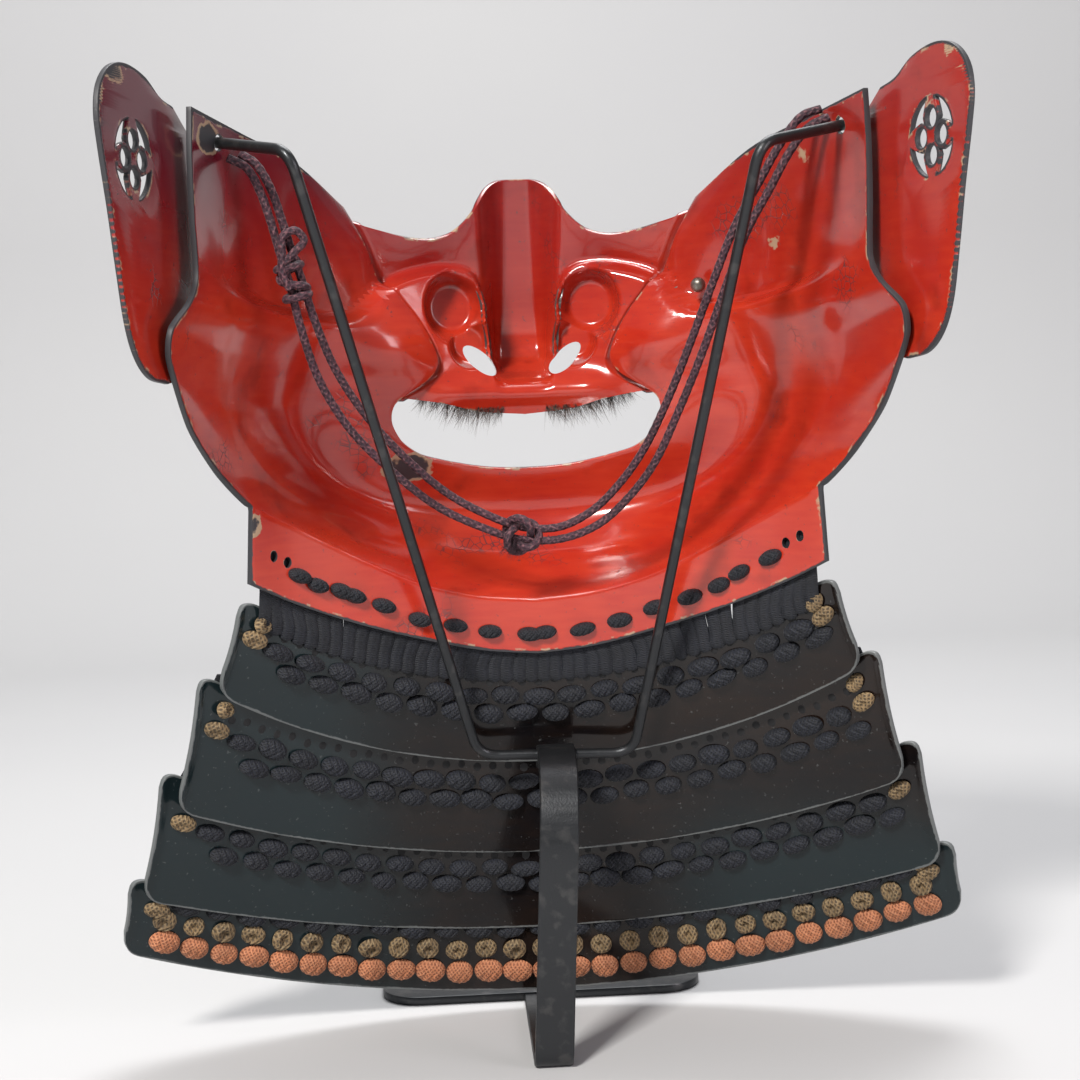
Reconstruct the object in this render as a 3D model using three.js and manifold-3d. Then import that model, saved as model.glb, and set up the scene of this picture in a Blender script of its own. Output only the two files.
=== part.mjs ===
// Samurai face guard (menpo) with a throat guard of four lames, on its wire stand. Millimetres.
// The guard is seen from the wearer's side along +Y: +X is the wearer's right, +Y is forward, +Z is up.
// The origin is on the underside of the stand's foot plate, below the middle of the face.
import * as THREE from 'three';
import { mergeVertices } from 'three/addons/utils/BufferGeometryUtils.js';
import Module from 'manifold-3d';

const wasm = await Module();
wasm.setup();

// ---- Driving dimensions -------------------------------------------------------------------------
const IRON = 1.3; // thickness of the mask's iron plates
const LAME_THICKNESS = 1.4;
const LACING_THICKNESS = 1.1;
const GAP = 0.5; // clearance between neighbouring pieces

const FACE_AXIS_Y = -50; // the upright axis that the face plates curve around
const CHEEK_RADIUS = 85.7; // inner face of the cheeks where they meet the nose piece
const NOSE_RADIUS = 88.2; // inner face of the nose piece, outside the cheeks
const NOSE_LAP = 3; // how far the nose piece runs on behind the cheeks
const LAP_CLEARANCE = 3; // how far it is set out there, clear of the cheeks

const HOLLOW_DEPTH = 6.5; // the hollow under the eyes, above the ledge
const LOBE_HEIGHT = 4.2; // the lobes that swell inwards beside the nose

const EAR = { x: 85.8, y: -44.5, flare: 17, tuck: 9, roundelAt: 23, roundelZ: 238.3, roundelRadius: 9.3 };
const WIRE_DIAMETER = 2.8;
const CORD_DIAMETER = 2.2;
const CORD_STEPS = 44;
const KNOT_CLEARANCE = 0.8; // how much wider than the cord the passages through a knot are

// Half of the cheek and jaw plate (x > 0) as sections that run from the face opening outwards:
// the inner edge, the swell of the wall, the crease where the wall turns into a rim, and the outer edge.
const CHEEK_SECTIONS = [
  { inner: [48.5, 233.5], wall: [60.5, -2, 244], crease: [73, -25, 249.5], edge: [81.2, -47, 252.6] },
  { inner: [42.8, 223.8], wall: [60.5, 2, 231], crease: [76, -26, 236], edge: [81.6, -47.5, 240] },
  { inner: [37.8, 213.8], wall: [60, 6.5, 218], crease: [77, -27, 223], edge: [81.6, -47.5, 226] },
  { inner: [30, 203], wall: [57, 12, 206], crease: [76, -28, 210], edge: [81.3, -48, 212] },
  { inner: [25.8, 195], wall: [57, 14.5, 199], crease: [76.5, -28, 202], edge: [82.8, -53, 205.5] },
  { inner: [24.6, 190], wall: [59, 15.5, 193], crease: [79, -26, 194.5], edge: [86.3, -59.5, 199.5] },
  { inner: [27.3, 185.7], wall: [62, 15.5, 187], crease: [80, -24, 187], edge: [87.3, -59.5, 193.5] },
  { inner: [36.5, 179.4], wall: [65, 14.5, 179.5], crease: [79.5, -21, 179.5], edge: [86.8, -55, 187.5] },
  { inner: [37.8, 174], wall: [63, 18, 171], crease: [76.5, -14.5, 169.5], edge: [85.2, -42, 175.5] },
  { inner: [35.2, 168.5], wall: [58, 23.5, 163], crease: [71.5, -5, 160.5], edge: [80.8, -29, 164.5] },
  { inner: [30, 164.2], wall: [50, 30, 156], crease: [63.5, 6, 153], edge: [73.6, -19, 154.8] },
  { inner: [23, 162], wall: [41.5, 35, 151.5], crease: [54.5, 14.5, 147], edge: [64, -9.5, 148.4] },
  { inner: [17.5, 160.8], wall: [33, 38.5, 148.5], crease: [43.5, 23, 141], edge: [47.5, 0, 138.5] },
  { inner: [11.5, 159.8], wall: [22, 41.5, 147], crease: [31, 30.5, 137], edge: [31, 5, 130.2] },
  { inner: [5.5, 159.3], wall: [11, 43, 146.3], crease: [16, 35.5, 134.5], edge: [15, 8, 125.8] },
  { inner: [0, 159.2], wall: [0, 43.5, 146], crease: [0, 37, 133.6], edge: [0, 8.5, 124.3] },
];
const CHIN_PUSH = 3.4; // how far the lower lip stands forward of the cheeks' radius
// Section numbers of the two open lace holes near each end of the flange.
const LACE_HOLES = [10.55, 10.84];
// The neck flange hangs from the last sections' outer edge, from the neck corner to the middle.
const FLANGE_SECTIONS = [
  { from: 10, hem: [74.9, -18.6, 134.6] },
  { from: 11, hem: [64, -8.5, 127.9] },
  { from: 12, hem: [47.5, 0.5, 120.6] },
  { from: 13, hem: [31, 6, 115.2] },
  { from: 14, hem: [15, 9.3, 111.2] },
  { from: 15, hem: [0, 10.2, 109.6] },
];
// Curves over the distance from the middle, x: the rim under the eyes, the ledge below the hollow, the lip.
const RIM_LINE = [[0, 244.6], [4.5, 244.2], [8, 241.6], [11.5, 236.6], [15.5, 231.6], [20, 228.4], [27, 227.2],
  [38, 229.6], [48.5, 233.5], [60.5, 244], [73, 249.5], [84, 253]];
const LEDGE_LINE = [[9, 205], [12, 213.5], [19, 216.8], [29, 215.8], [37.5, 212], [43, 205.5], [49, 203],
  [57, 204], [69, 207.5], [82, 214]];
const LIP_LINE = [[0, 175.2], [13.5, 176.5], [23.2, 179], [32.3, 180.6], [40, 181.6]];
// The nose piece's side edge from the lip up to the rim, before its lap behind the cheeks.
const NOSE_SIDE = [[37, 181.2], [28.5, 186], [24.6, 190.5], [26.5, 197], [31.5, 205.5], [37.8, 213.8],
  [43, 224], [48.5, 233.5]];
// The ridge of the nose by height: how far it stands out, its half width and how square it is.
const NOSE_RIDGE = { z: [176, 184, 187.5, 191, 199, 214, 244.6], depth: [0, 2, 12, 20, 22, 17, 9],
  half: [9, 9, 9, 9.5, 10.5, 12, 12], square: [2.6, 2.6, 2.6, 2.6, 2.2, 1.6, 1.3] };
const NOSE_WINGS = [ // pockets inside the wings of the nose, and their run down to the nostrils
  { x: 17.5, z: 206, halfX: 7.5, halfZ: 9, depth: 9 },
  { x: 14, z: 195, halfX: 7, halfZ: 9, depth: 7.5 },
];
const NOSTRIL = { x: 12.3, z: 190.5, halfLong: 6, halfShort: 2.5, slant: 43 };

// Lames from the neck down. Centre and end give y and z (and x at the end) of the top and bottom edges.
const LAMES = [
  { topMiddle: [14.3, 108], topEnd: [78.5, -13.2, 131], bottomMiddle: [22, 77.4], bottomEnd: [86.6, -10.5, 105.7] },
  { topMiddle: [24.4, 83], topEnd: [90.6, -9.4, 111], bottomMiddle: [30, 49.7], bottomEnd: [99.6, -2, 73] },
  { topMiddle: [32.4, 55], topEnd: [102.8, -1.4, 84.5], bottomMiddle: [37, 25.8], bottomEnd: [111, 5, 47.5] },
  { topMiddle: [39.4, 31], topEnd: [114, 5.2, 54], bottomMiddle: [44, 5.3], bottomEnd: [118.6, 12, 31.6] },
];
const LAME_CORNER = 6;

// The wire yoke of the stand, tip to tip: it was bent by hand, so its two sides differ a little.
const WIRE_HOLE_RADIUS = 2.1;
const WIRE_ROUTE = [[-76.6, -32, 245.6], [-57.8, -58, 240.3], [-17.4, 13, 81.5], [25.7, 13, 80.4],
  [53.7, -58, 239], [78, -35, 245.2]];
const WIRE_BEND = 7;
const TIP_LENGTH = 2; // how far each tip reaches into its hole
const STRAP = { top: [4, 13, 82.2], width: 10.4, thickness: 2, back: -12, bend: 5, lean: 0.056 };
const FOOT_PLATE = { width: 96, from: 50, to: 92, thickness: 2.6, corner: 12 };

// Two strands of the chin cord, hanging from the left wire hole to the right one through two knots.
const LOWER_STRAND = [[-74.8, -29.4, 242.2], [-70.3, -28, 239.7], [-67.4, -26, 234], [-65.3, -25, 227.2],
  [-63.3, -24, 218.9], [-61.1, -22.5, 210.3], [-59.2, -20, 200.5], [-55.4, -14, 186.7], [-48.3, -9, 173.6],
  [-37.9, -5, 162], [-26.1, -3, 151.9], [-14.6, -2.5, 145.9], [-4.3, -2.5, 142.2], [6.7, -3, 142],
  [16.7, -4, 145.6], [25, -7, 153], [31.5, -10, 161.7], [37.7, -15, 175.3], [43.7, -20, 190.3],
  [49.5, -25, 206.7], [54.8, -28.5, 220.4], [60.5, -30.5, 230.5], [65.5, -31.5, 239.3], [70.5, -32.5, 245.4],
  [75.4, -32.6, 247.6]];
const UPPER_STRAND = [[-72, -27.2, 243.4], [-68.2, -26, 240.9], [-64.7, -25, 234.5], [-62.5, -24, 227.2],
  [-60.4, -23, 219.4], [-58.1, -21.5, 211.5], [-55.5, -19, 201.6], [-50.8, -12.5, 188.5], [-43.6, -8, 176.5],
  [-34.1, -4, 165.2], [-23.1, -2, 155.1], [-12.6, -1.5, 148.9], [-3.6, -1.5, 145.4], [6.3, -2, 145.1],
  [15.1, -3, 149.2], [22.4, -5.5, 156.2], [28.8, -9, 165.2], [35.1, -14, 178.4], [40.8, -19, 192.9],
  [46.7, -24, 208.8], [52.1, -27.5, 222.2], [58, -29.5, 232.4], [63.3, -30.5, 241.4], [69, -31, 248.3],
  [73.8, -31, 249.9]];
const SIDE_KNOT = { at: [-60.6, -22.4, 211.6], radii: [5.2, 4.6, 8.6], tilt: 0.22 };
const CENTRE_KNOT = { at: [-4, -2.2, 143.2], radii: [6.6, 5.2, 5.4], tilt: 0 };

// ---- Small mathematics --------------------------------------------------------------------------
const { clamp, lerp, smoothstep, degToRad } = THREE.MathUtils;
const vector = (x, y, z) => new THREE.Vector3(x, y, z);

/** Smooth curve through a table of [position, value] rows, flat beyond its ends. */
function along(rows, position) {
  const last = rows.length - 1;
  if (position <= rows[0][0]) return rows[0][1];
  if (position >= rows[last][0]) return rows[last][1];
  const i = rows.findIndex(row => row[0] > position) - 1;
  const slope = k => {
    const a = rows[Math.max(k - 1, 0)];
    const b = rows[Math.min(k + 1, last)];
    return (b[1] - a[1]) / (b[0] - a[0]);
  };
  const span = rows[i + 1][0] - rows[i][0];
  const t = (position - rows[i][0]) / span;
  const rise = rows[i + 1][1] - rows[i][1];
  const bend = (1 - t) * (slope(i) * span - rise) - t * (slope(i + 1) * span - rise);
  return rows[i][1] + t * rise + t * (1 - t) * bend;
}
const ridgeValue = (column, z) => along(NOSE_RIDGE.z.map((level, i) => [level, NOSE_RIDGE[column][i]]), z);

// ---- Solids -------------------------------------------------------------------------------------
/** A closed three.js geometry as a manifold-3d solid. */
function toSolid(geometry) {
  const plain = geometry.clone();
  for (const name of Object.keys(plain.attributes)) {
    if (name !== 'position') plain.deleteAttribute(name);
  }
  const merged = mergeVertices(plain, 1e-4);
  return new wasm.Manifold(new wasm.Mesh({
    numProp: 3,
    vertProperties: new Float32Array(merged.attributes.position.array),
    triVerts: new Uint32Array(merged.index.array),
  }));
}

/** A manifold-3d solid as a three.js geometry. */
function toGeometry(solid) {
  const mesh = solid.getMesh();
  const geometry = new THREE.BufferGeometry();
  geometry.setAttribute('position', new THREE.BufferAttribute(new Float32Array(mesh.vertProperties), 3));
  geometry.setIndex(new THREE.BufferAttribute(new Uint32Array(mesh.triVerts), 1));
  return geometry;
}

/** The first geometry with all the others joined to it. */
const join = (first, ...others) => toGeometry(others.reduce((sum, other) => sum.add(toSolid(other)), toSolid(first)));
/** The first geometry with all the others cut out of it. */
const cut = (first, ...others) => toGeometry(others.reduce((sum, other) => sum.subtract(toSolid(other)), toSolid(first)));

/** Outward normals of a grid of points: seen from inside, rows follow each other rightwards as columns go down. */
function gridNormals(grid, isKept) {
  const normals = grid.map(row => row.map(() => vector(0, 0, 0)));
  for (let i = 0; i + 1 < grid.length; i++) {
    for (let j = 0; j + 1 < grid[0].length; j++) {
      if (!isKept(i, j)) continue;
      const first = grid[i + 1][j + 1].clone().sub(grid[i][j]);
      const second = grid[i + 1][j].clone().sub(grid[i][j + 1]);
      const normal = second.cross(first);
      for (const [a, b] of [[i, j], [i, j + 1], [i + 1, j], [i + 1, j + 1]]) normals[a][b].add(normal);
    }
  }
  return normals.map(row => row.map(normal => normal.normalize()));
}

/** A closed plate whose inner face is the grid, made of the cells that isKept(row, column) keeps. */
function plate(grid, thickness, isKept = () => true) {
  const normals = gridNormals(grid, isKept);
  const width = grid[0].length;
  const positions = [];
  grid.forEach((row, i) => row.forEach((point, j) => {
    positions.push(...point.toArray(), ...point.clone().addScaledVector(normals[i][j], thickness).toArray());
  }));
  const inner = (i, j) => 2 * (i * width + j);
  const index = [];
  const kept = (i, j) => i >= 0 && j >= 0 && i + 1 < grid.length && j + 1 < width && isKept(i, j);
  const wall = (a, b) => index.push(a, b, b + 1, a, b + 1, a + 1);
  for (let i = 0; i + 1 < grid.length; i++) {
    for (let j = 0; j + 1 < width; j++) {
      if (!kept(i, j)) continue;
      const [a, b, c, d] = [inner(i, j), inner(i, j + 1), inner(i + 1, j + 1), inner(i + 1, j)];
      index.push(a, b, c, a, c, d, a + 1, c + 1, b + 1, a + 1, d + 1, c + 1);
      if (!kept(i - 1, j)) wall(b, a);
      if (!kept(i + 1, j)) wall(d, c);
      if (!kept(i, j - 1)) wall(a, d);
      if (!kept(i, j + 1)) wall(c, b);
    }
  }
  const geometry = new THREE.BufferGeometry();
  geometry.setAttribute('position', new THREE.Float32BufferAttribute(positions, 3));
  geometry.setIndex(index);
  return geometry;
}

/** A round rod along a polyline of points, with its corners bent to a radius. */
function rod(points, diameter, bend, sides, steps) {
  const path = new THREE.CurvePath();
  let from = points[0];
  for (let i = 1; i < points.length - 1; i++) {
    const before = points[i].clone().sub(points[i - 1]).setLength(bend);
    const after = points[i + 1].clone().sub(points[i]).setLength(bend);
    const enter = points[i].clone().sub(before);
    const leave = points[i].clone().add(after);
    path.add(new THREE.LineCurve3(from, enter));
    path.add(new THREE.QuadraticBezierCurve3(enter, points[i], leave));
    from = leave;
  }
  path.add(new THREE.LineCurve3(from, points[points.length - 1]));
  return tube(path, diameter, sides, steps);
}

/** A round tube with closed ends along a curve. */
function tube(path, diameter, sides, steps) {
  const section = new THREE.Shape();
  for (let i = 0; i <= sides; i++) {
    const angle = (i / sides) * 2 * Math.PI;
    const [x, y] = [Math.cos(angle) * diameter / 2, Math.sin(angle) * diameter / 2];
    if (i === 0) section.moveTo(x, y);
    else section.lineTo(x, y);
  }
  return new THREE.ExtrudeGeometry(section, { steps, extrudePath: path });
}

/** A short cylinder at a point, standing along a direction. */
function plug(point, direction, radius, length, sides = 12) {
  const cylinder = new THREE.CylinderGeometry(radius, radius, length, sides);
  const turn = new THREE.Quaternion().setFromUnitVectors(vector(0, 1, 0), direction.clone().normalize());
  return cylinder.applyQuaternion(turn).translate(point.x, point.y, point.z);
}

// ---- Face relief --------------------------------------------------------------------------------
/** How far the face plates stand out at (x, z): hollows under the eyes above a ledge, and the lobes. */
function faceRelief(x, z) {
  const across = Math.abs(x);
  const ledge = along(LEDGE_LINE, across);
  const rim = along(RIM_LINE, across);
  const up = clamp((z - ledge) / Math.max(rim - ledge, 1), 0, 1);
  const spread = (1 - smoothstep(across, 62, 80)) * smoothstep(across, 7, 12);
  const hollow = HOLLOW_DEPTH * Math.pow(1 - up, 1.3) * smoothstep(z, ledge - 2.6, ledge + 2.2) * spread;
  const lobe = Math.exp(-(((across - 39) / 13) ** 2) - ((z - 193.5) / 9.5) ** 2);
  return hollow - LOBE_HEIGHT * lobe;
}

/** Moves a point of the face outwards from the face's upright axis. */
function pushOut(point, distance) {
  const reach = Math.hypot(point.x, point.y - FACE_AXIS_Y);
  return vector(point.x * (1 + distance / reach), point.y + (point.y - FACE_AXIS_Y) * distance / reach, point.z);
}
const onCylinder = (x, z, radius) => vector(x, FACE_AXIS_Y + Math.sqrt(radius ** 2 - x ** 2), z);

// ---- Mask body: cheeks, jaw, chin and neck flange ------------------------------------------------
const SECTION_STEPS = [0, 0.4, 0.75, 1, 1.4, 1.8, 2.4, 3, 3.5, 4];
const CORNER_BEND = 4; // how far from the crease its rounding starts
const NECK_SECTION = FLANGE_SECTIONS[0].from;

/** Smooth curves through one named point of every section. */
function sectionCurves() {
  const inner = CHEEK_SECTIONS.map(({ inner: [x, z] }, i) => {
    const chin = smoothstep(i, 7, 13) * CHIN_PUSH;
    return onCylinder(x, z, CHEEK_RADIUS + chin);
  });
  const wall = CHEEK_SECTIONS.map(section => vector(...section.wall));
  const crease = CHEEK_SECTIONS.map(section => vector(...section.crease));
  const edge = CHEEK_SECTIONS.map(section => vector(...section.edge));
  return [inner, wall, crease, edge].map(points => new THREE.CatmullRomCurve3(points, false, 'catmullrom', 0.4));
}
const CHEEK_CURVES = sectionCurves();
const HEM_CURVE = new THREE.CatmullRomCurve3(FLANGE_SECTIONS.map(row => vector(...row.hem)));

/** The points of one section of the cheek plate; at counts sections, and may lie between two. */
function cheekSection(at) {
  const t = at / (CHEEK_SECTIONS.length - 1);
  const [inner, wall, crease, edge] = CHEEK_CURVES.map(curve => curve.getPoint(t));
  const toWall = wall.clone().sub(crease);
  const toEdge = edge.clone().sub(crease);
  const bendIn = crease.clone().addScaledVector(toWall, CORNER_BEND / toWall.length());
  const bendOut = crease.clone().addScaledVector(toEdge, CORNER_BEND / toEdge.length());
  const profile = new THREE.CatmullRomCurve3([inner, wall, bendIn, bendOut, edge], false, 'centripetal');
  return SECTION_STEPS.map(step => {
    const point = profile.getPoint(step / 4);
    return pushOut(point, faceRelief(point.x, point.z));
  });
}

/** The neck flange's points below one section, from under its crease to the hem. */
function flangeSection(at) {
  const count = CHEEK_SECTIONS.length - 1;
  const top = CHEEK_CURVES[3].getPoint(at / count);
  const hem = HEM_CURVE.getPoint(clamp((at - NECK_SECTION) / (count - NECK_SECTION), 0, 1));
  return [0.5, 1].map(t => top.clone().lerp(hem, t));
}

const mirrored = point => vector(-point.x, point.y, point.z);

/** The tip of the wire on one side and the bend before it. */
function wireEnd(side) {
  const [tip, bend] = side < 0 ? WIRE_ROUTE : [...WIRE_ROUTE].reverse();
  return [vector(...tip), vector(...bend)];
}

function maskBody() {
  const count = CHEEK_SECTIONS.length - 1;
  const half = [];
  for (let step = 0; step <= 2 * count; step++) half.push([...cheekSection(step / 2), ...flangeSection(step / 2)]);
  const left = half.map(row => row.map(mirrored));
  const grid = [...left, ...half.slice(0, -1).reverse()];
  const rows = grid.length - 1;
  const flangeColumn = half[0].length - 3;
  const onFlange = i => Math.min(i, rows - 1 - i) >= 2 * NECK_SECTION;
  const body = plate(grid, IRON, (i, j) => j < flangeColumn || onFlange(i));
  const holes = [];
  for (const side of [-1, 1]) {
    const [tip, bend] = wireEnd(side);
    holes.push(plug(tip, tip.clone().sub(bend), WIRE_HOLE_RADIUS, 14));
    for (const at of LACE_HOLES) {
      const [middle] = flangeSection(at);
      holes.push(plug(vector(side * middle.x, middle.y, middle.z), vector(side * 0.6, 0.8, 0), 1.1, 8, 10));
    }
  }
  return cut(body, ...holes);
}

// ---- Nose piece: nose and upper lip --------------------------------------------------------------
/** How far the nose stands out from the face at (x, z). */
function noseRelief(x, z) {
  const across = Math.abs(x);
  const reach = clamp(across / ridgeValue('half', z), 0, 1);
  const fade = smoothstep(1 - Math.pow(reach, ridgeValue('square', z)), 0, 0.9);
  let depth = ridgeValue('depth', z) * fade;
  for (const wing of NOSE_WINGS) {
    const away = ((across - wing.x) / wing.halfX) ** 2 + ((z - wing.z) / wing.halfZ) ** 2;
    depth = Math.max(depth, wing.depth * smoothstep(1 - away, 0, 0.75));
  }
  const roll = Math.exp(-(((z - 181.5) / 4.5) ** 2)) * (1 - smoothstep(across, 18, 32));
  return depth - 4 * roll;
}

function nosePiece() {
  const [rows, columns] = [17, 24];
  const side = new THREE.CatmullRomCurve3(NOSE_SIDE.map(([x, z]) => vector(x + NOSE_LAP, 0, z)));
  const bottomX = side.getPoint(0).x;
  const topX = side.getPoint(1).x;
  const grid = [];
  for (let i = 0; i <= rows; i++) {
    const up = 1 - i / rows;
    const edge = side.getPoint(up);
    const row = [];
    for (let j = 0; j <= columns; j++) {
      const share = 1 - 2 * j / columns;
      const x = edge.x * share;
      const lip = along(LIP_LINE, Math.abs(share) * bottomX) - along(LIP_LINE, bottomX);
      const rim = along(RIM_LINE, Math.abs(share) * topX) - along(RIM_LINE, topX);
      const z = edge.z + (1 - up) * lip + up * rim;
      const lap = LAP_CLEARANCE * smoothstep(Math.abs(share), 0.84, 0.94);
      row.push(pushOut(onCylinder(x, z, NOSE_RADIUS), faceRelief(x, z) + noseRelief(x, z) + lap));
    }
    grid.push(row);
  }
  const nostrils = [-1, 1].map(sideways => {
    const hole = new THREE.CylinderGeometry(1, 1, 60, 16);
    hole.scale(NOSTRIL.halfLong, 1, NOSTRIL.halfShort);
    hole.rotateY(-sideways * degToRad(NOSTRIL.slant));
    return hole.translate(sideways * NOSTRIL.x, 55, NOSTRIL.z);
  });
  return cut(plate(grid, IRON), ...nostrils);
}

// ---- Ear plates ----------------------------------------------------------------------------------
const EAR_OUTLINE = [[25, 259.8], [33, 258.2], [38.5, 253.5], [40.3, 247], [39, 239], [35.8, 226], [32.8, 212],
  [29.8, 200], [25.5, 192.5], [19, 188], [10, 186.6]];

/** The flat ear plate with its pierced flower, tucked outside the cheek: u runs backwards, v is the height. */
function earShape() {
  const shape = new THREE.Shape();
  shape.moveTo(5, 187.2);
  shape.lineTo(0, 198);
  shape.lineTo(-EAR.tuck, 207);
  shape.lineTo(-EAR.tuck, 247);
  shape.lineTo(0, 253);
  shape.splineThru([[7, 254.4], [15, 258.2], ...EAR_OUTLINE].map(([u, v]) => new THREE.Vector2(u, v)));
  const [u0, v0] = [EAR.roundelAt, EAR.roundelZ];
  for (let quarter = 0; quarter < 4; quarter++) {
    shape.holes.push(petalHole(u0, v0, quarter * Math.PI / 2));
    shape.holes.push(crescentHole(u0, v0, (quarter + 0.5) * Math.PI / 2));
  }
  return shape;
}

/** A round petal of the pierced flower. */
function petalHole(u0, v0, angle) {
  const hole = new THREE.Path();
  const [distance, radius] = [EAR.roundelRadius * 0.47, EAR.roundelRadius * 0.25];
  hole.absarc(u0 + Math.cos(angle) * distance, v0 + Math.sin(angle) * distance, radius, 0, 2 * Math.PI, false);
  return hole;
}

/** A gap between the flower's lobed frame and the ring, in one diagonal quarter. */
function crescentHole(u0, v0, angle) {
  const hole = new THREE.Path();
  const outer = EAR.roundelRadius;
  const half = degToRad(33);
  const points = [];
  for (let i = 0; i <= 5; i++) {
    const turn = angle - half + 2 * half * i / 5;
    points.push([Math.cos(turn) * outer, Math.sin(turn) * outer]);
  }
  const [notch, waist] = [outer * 0.62, outer * 0.47];
  points.push([Math.cos(angle + half * 0.55) * outer * 0.74, Math.sin(angle + half * 0.55) * outer * 0.74]);
  points.push([Math.cos(angle + half * 0.2) * notch, Math.sin(angle + half * 0.2) * notch]);
  points.push([Math.cos(angle) * waist, Math.sin(angle) * waist]);
  points.push([Math.cos(angle - half * 0.2) * notch, Math.sin(angle - half * 0.2) * notch]);
  points.push([Math.cos(angle - half * 0.55) * outer * 0.74, Math.sin(angle - half * 0.55) * outer * 0.74]);
  hole.setFromPoints(points.map(([u, v]) => new THREE.Vector2(u0 + u, v0 + v)));
  return hole;
}

function earPlate(side) {
  const geometry = new THREE.ExtrudeGeometry(earShape(), { depth: IRON, bevelEnabled: false, curveSegments: 3 });
  const flare = degToRad(EAR.flare);
  const backwards = vector(Math.sin(flare), -Math.cos(flare), 0);
  const upwards = vector(0, 0, 1);
  const outwards = backwards.clone().cross(upwards).negate();
  const turn = new THREE.Matrix4().makeBasis(backwards, upwards, outwards.clone().negate());
  geometry.applyMatrix4(turn);
  geometry.translate(EAR.x + outwards.x * IRON, EAR.y + outwards.y * IRON, 0);
  if (side > 0) return geometry;
  return reflected(geometry);
}

/** The mirror image across x = 0, with its faces turned to point out again. */
function reflected(geometry) {
  const flat = geometry.index ? geometry.toNonIndexed() : geometry.clone();
  const positions = flat.attributes.position;
  for (let i = 0; i < positions.count; i++) positions.setX(i, -positions.getX(i));
  for (let i = 0; i < positions.count; i += 3) {
    const [b, c] = [i + 1, i + 2].map(k => new THREE.Vector3().fromBufferAttribute(positions, k));
    positions.setXYZ(i + 1, c.x, c.y, c.z);
    positions.setXYZ(i + 2, b.x, b.y, b.z);
  }
  return flat;
}

// ---- Lames and lacing ----------------------------------------------------------------------------
/** A point on an arc in plan from the middle (y, z) to the end (x, y, z); share runs from -1 to 1. */
function arcPoint(middle, end, share) {
  const sagitta = middle[0] - end[1];
  const radius = (end[0] ** 2 + sagitta ** 2) / (2 * sagitta);
  const whole = Math.asin(end[0] / radius);
  const angle = whole * share;
  const rise = (1 - Math.cos(angle)) / (1 - Math.cos(whole));
  return vector(radius * Math.sin(angle), middle[0] - radius * (1 - Math.cos(angle)), lerp(middle[1], end[2], rise));
}

/** A point of a lame's inner face; share runs across from -1 to 1 and down from 0 to 1. */
function lamePoint(lame, share, down) {
  const top = arcPoint(lame.topMiddle, lame.topEnd, share);
  const bottom = arcPoint(lame.bottomMiddle, lame.bottomEnd, share);
  const bow = 1.2 * Math.sin(Math.PI * down);
  return pushOut(top.lerp(bottom, down), -bow);
}

/** Shares across a lame, closer together near the ends, where the corners are round. */
function lameShares() {
  const shares = [-1, -0.985, -0.96, -0.92];
  for (let i = -8; i <= 8; i++) shares.push(i * 0.105);
  return [...shares, 0.92, 0.96, 0.985, 1];
}

function lamePlate(lame) {
  const grid = lameShares().map(share => {
    const reach = (1 - Math.abs(share)) * lame.bottomEnd[0];
    const inset = Math.max(LAME_CORNER - reach, 0);
    const trim = LAME_CORNER - Math.sqrt(Math.max(LAME_CORNER ** 2 - inset ** 2, 0));
    const height = lamePoint(lame, share, 0).distanceTo(lamePoint(lame, share, 1));
    const corner = trim / height;
    return [0, 0.5, 1].map(down => lamePoint(lame, share, lerp(corner, 1 - corner, down)));
  });
  return plate(grid, LAME_THICKNESS);
}

/** A point above the flange's hem, on the flange's outer face side, by the share of its half width. */
function flangePoint(share, down) {
  const count = CHEEK_SECTIONS.length - 1;
  const at = lerp(count, NECK_SECTION, Math.abs(share));
  const top = CHEEK_CURVES[3].getPoint(at / count);
  const hem = HEM_CURVE.getPoint((at - NECK_SECTION) / (count - NECK_SECTION));
  const point = top.lerp(hem, down);
  return share < 0 ? mirrored(point) : point;
}

/** A soft band of close lacing over rows of points; each row is [point function, down, outward shift]. */
function lacingBand(rows, reach) {
  const steps = 16;
  const grid = [];
  for (let i = 0; i <= steps; i++) {
    const share = reach * (2 * i / steps - 1);
    grid.push(rows.map(([surface, down, shift]) => {
      const point = surface(share, down);
      const across = surface(share - 0.01, down).sub(surface(share + 0.01, down));
      const drop = surface(share, down + 0.01).sub(surface(share, down - 0.01));
      return point.addScaledVector(drop.cross(across).normalize(), shift);
    }));
  }
  return plate(grid, LACING_THICKNESS);
}

function lacing(index) {
  const lower = (share, down) => lamePoint(LAMES[index], share, down);
  if (index === 0) {
    const outside = IRON + GAP;
    const inside = -(LACING_THICKNESS + GAP);
    return lacingBand([[flangePoint, 0.35, outside], [flangePoint, 1, outside], [lower, 0.12, inside],
      [lower, 0.24, inside]], 0.94);
  }
  const upper = (share, down) => lamePoint(LAMES[index - 1], share, down);
  const outside = LAME_THICKNESS + GAP;
  return lacingBand([[upper, 0.42, outside], [upper, 0.62, outside + 0.4], [lower, -0.04, outside + 0.3],
    [lower, 0.2, outside]], 0.93);
}

// ---- Stand ---------------------------------------------------------------------------------------
/** A rounded rectangle as a shape. */
function roundedRectangle(x0, y0, x1, y1, corner) {
  const shape = new THREE.Shape();
  shape.moveTo(x0 + corner, y0);
  shape.lineTo(x1 - corner, y0);
  shape.quadraticCurveTo(x1, y0, x1, y0 + corner);
  shape.lineTo(x1, y1 - corner);
  shape.quadraticCurveTo(x1, y1, x1 - corner, y1);
  shape.lineTo(x0 + corner, y1);
  shape.quadraticCurveTo(x0, y1, x0, y1 - corner);
  shape.lineTo(x0, y0 + corner);
  shape.quadraticCurveTo(x0, y0, x0 + corner, y0);
  return shape;
}

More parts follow.
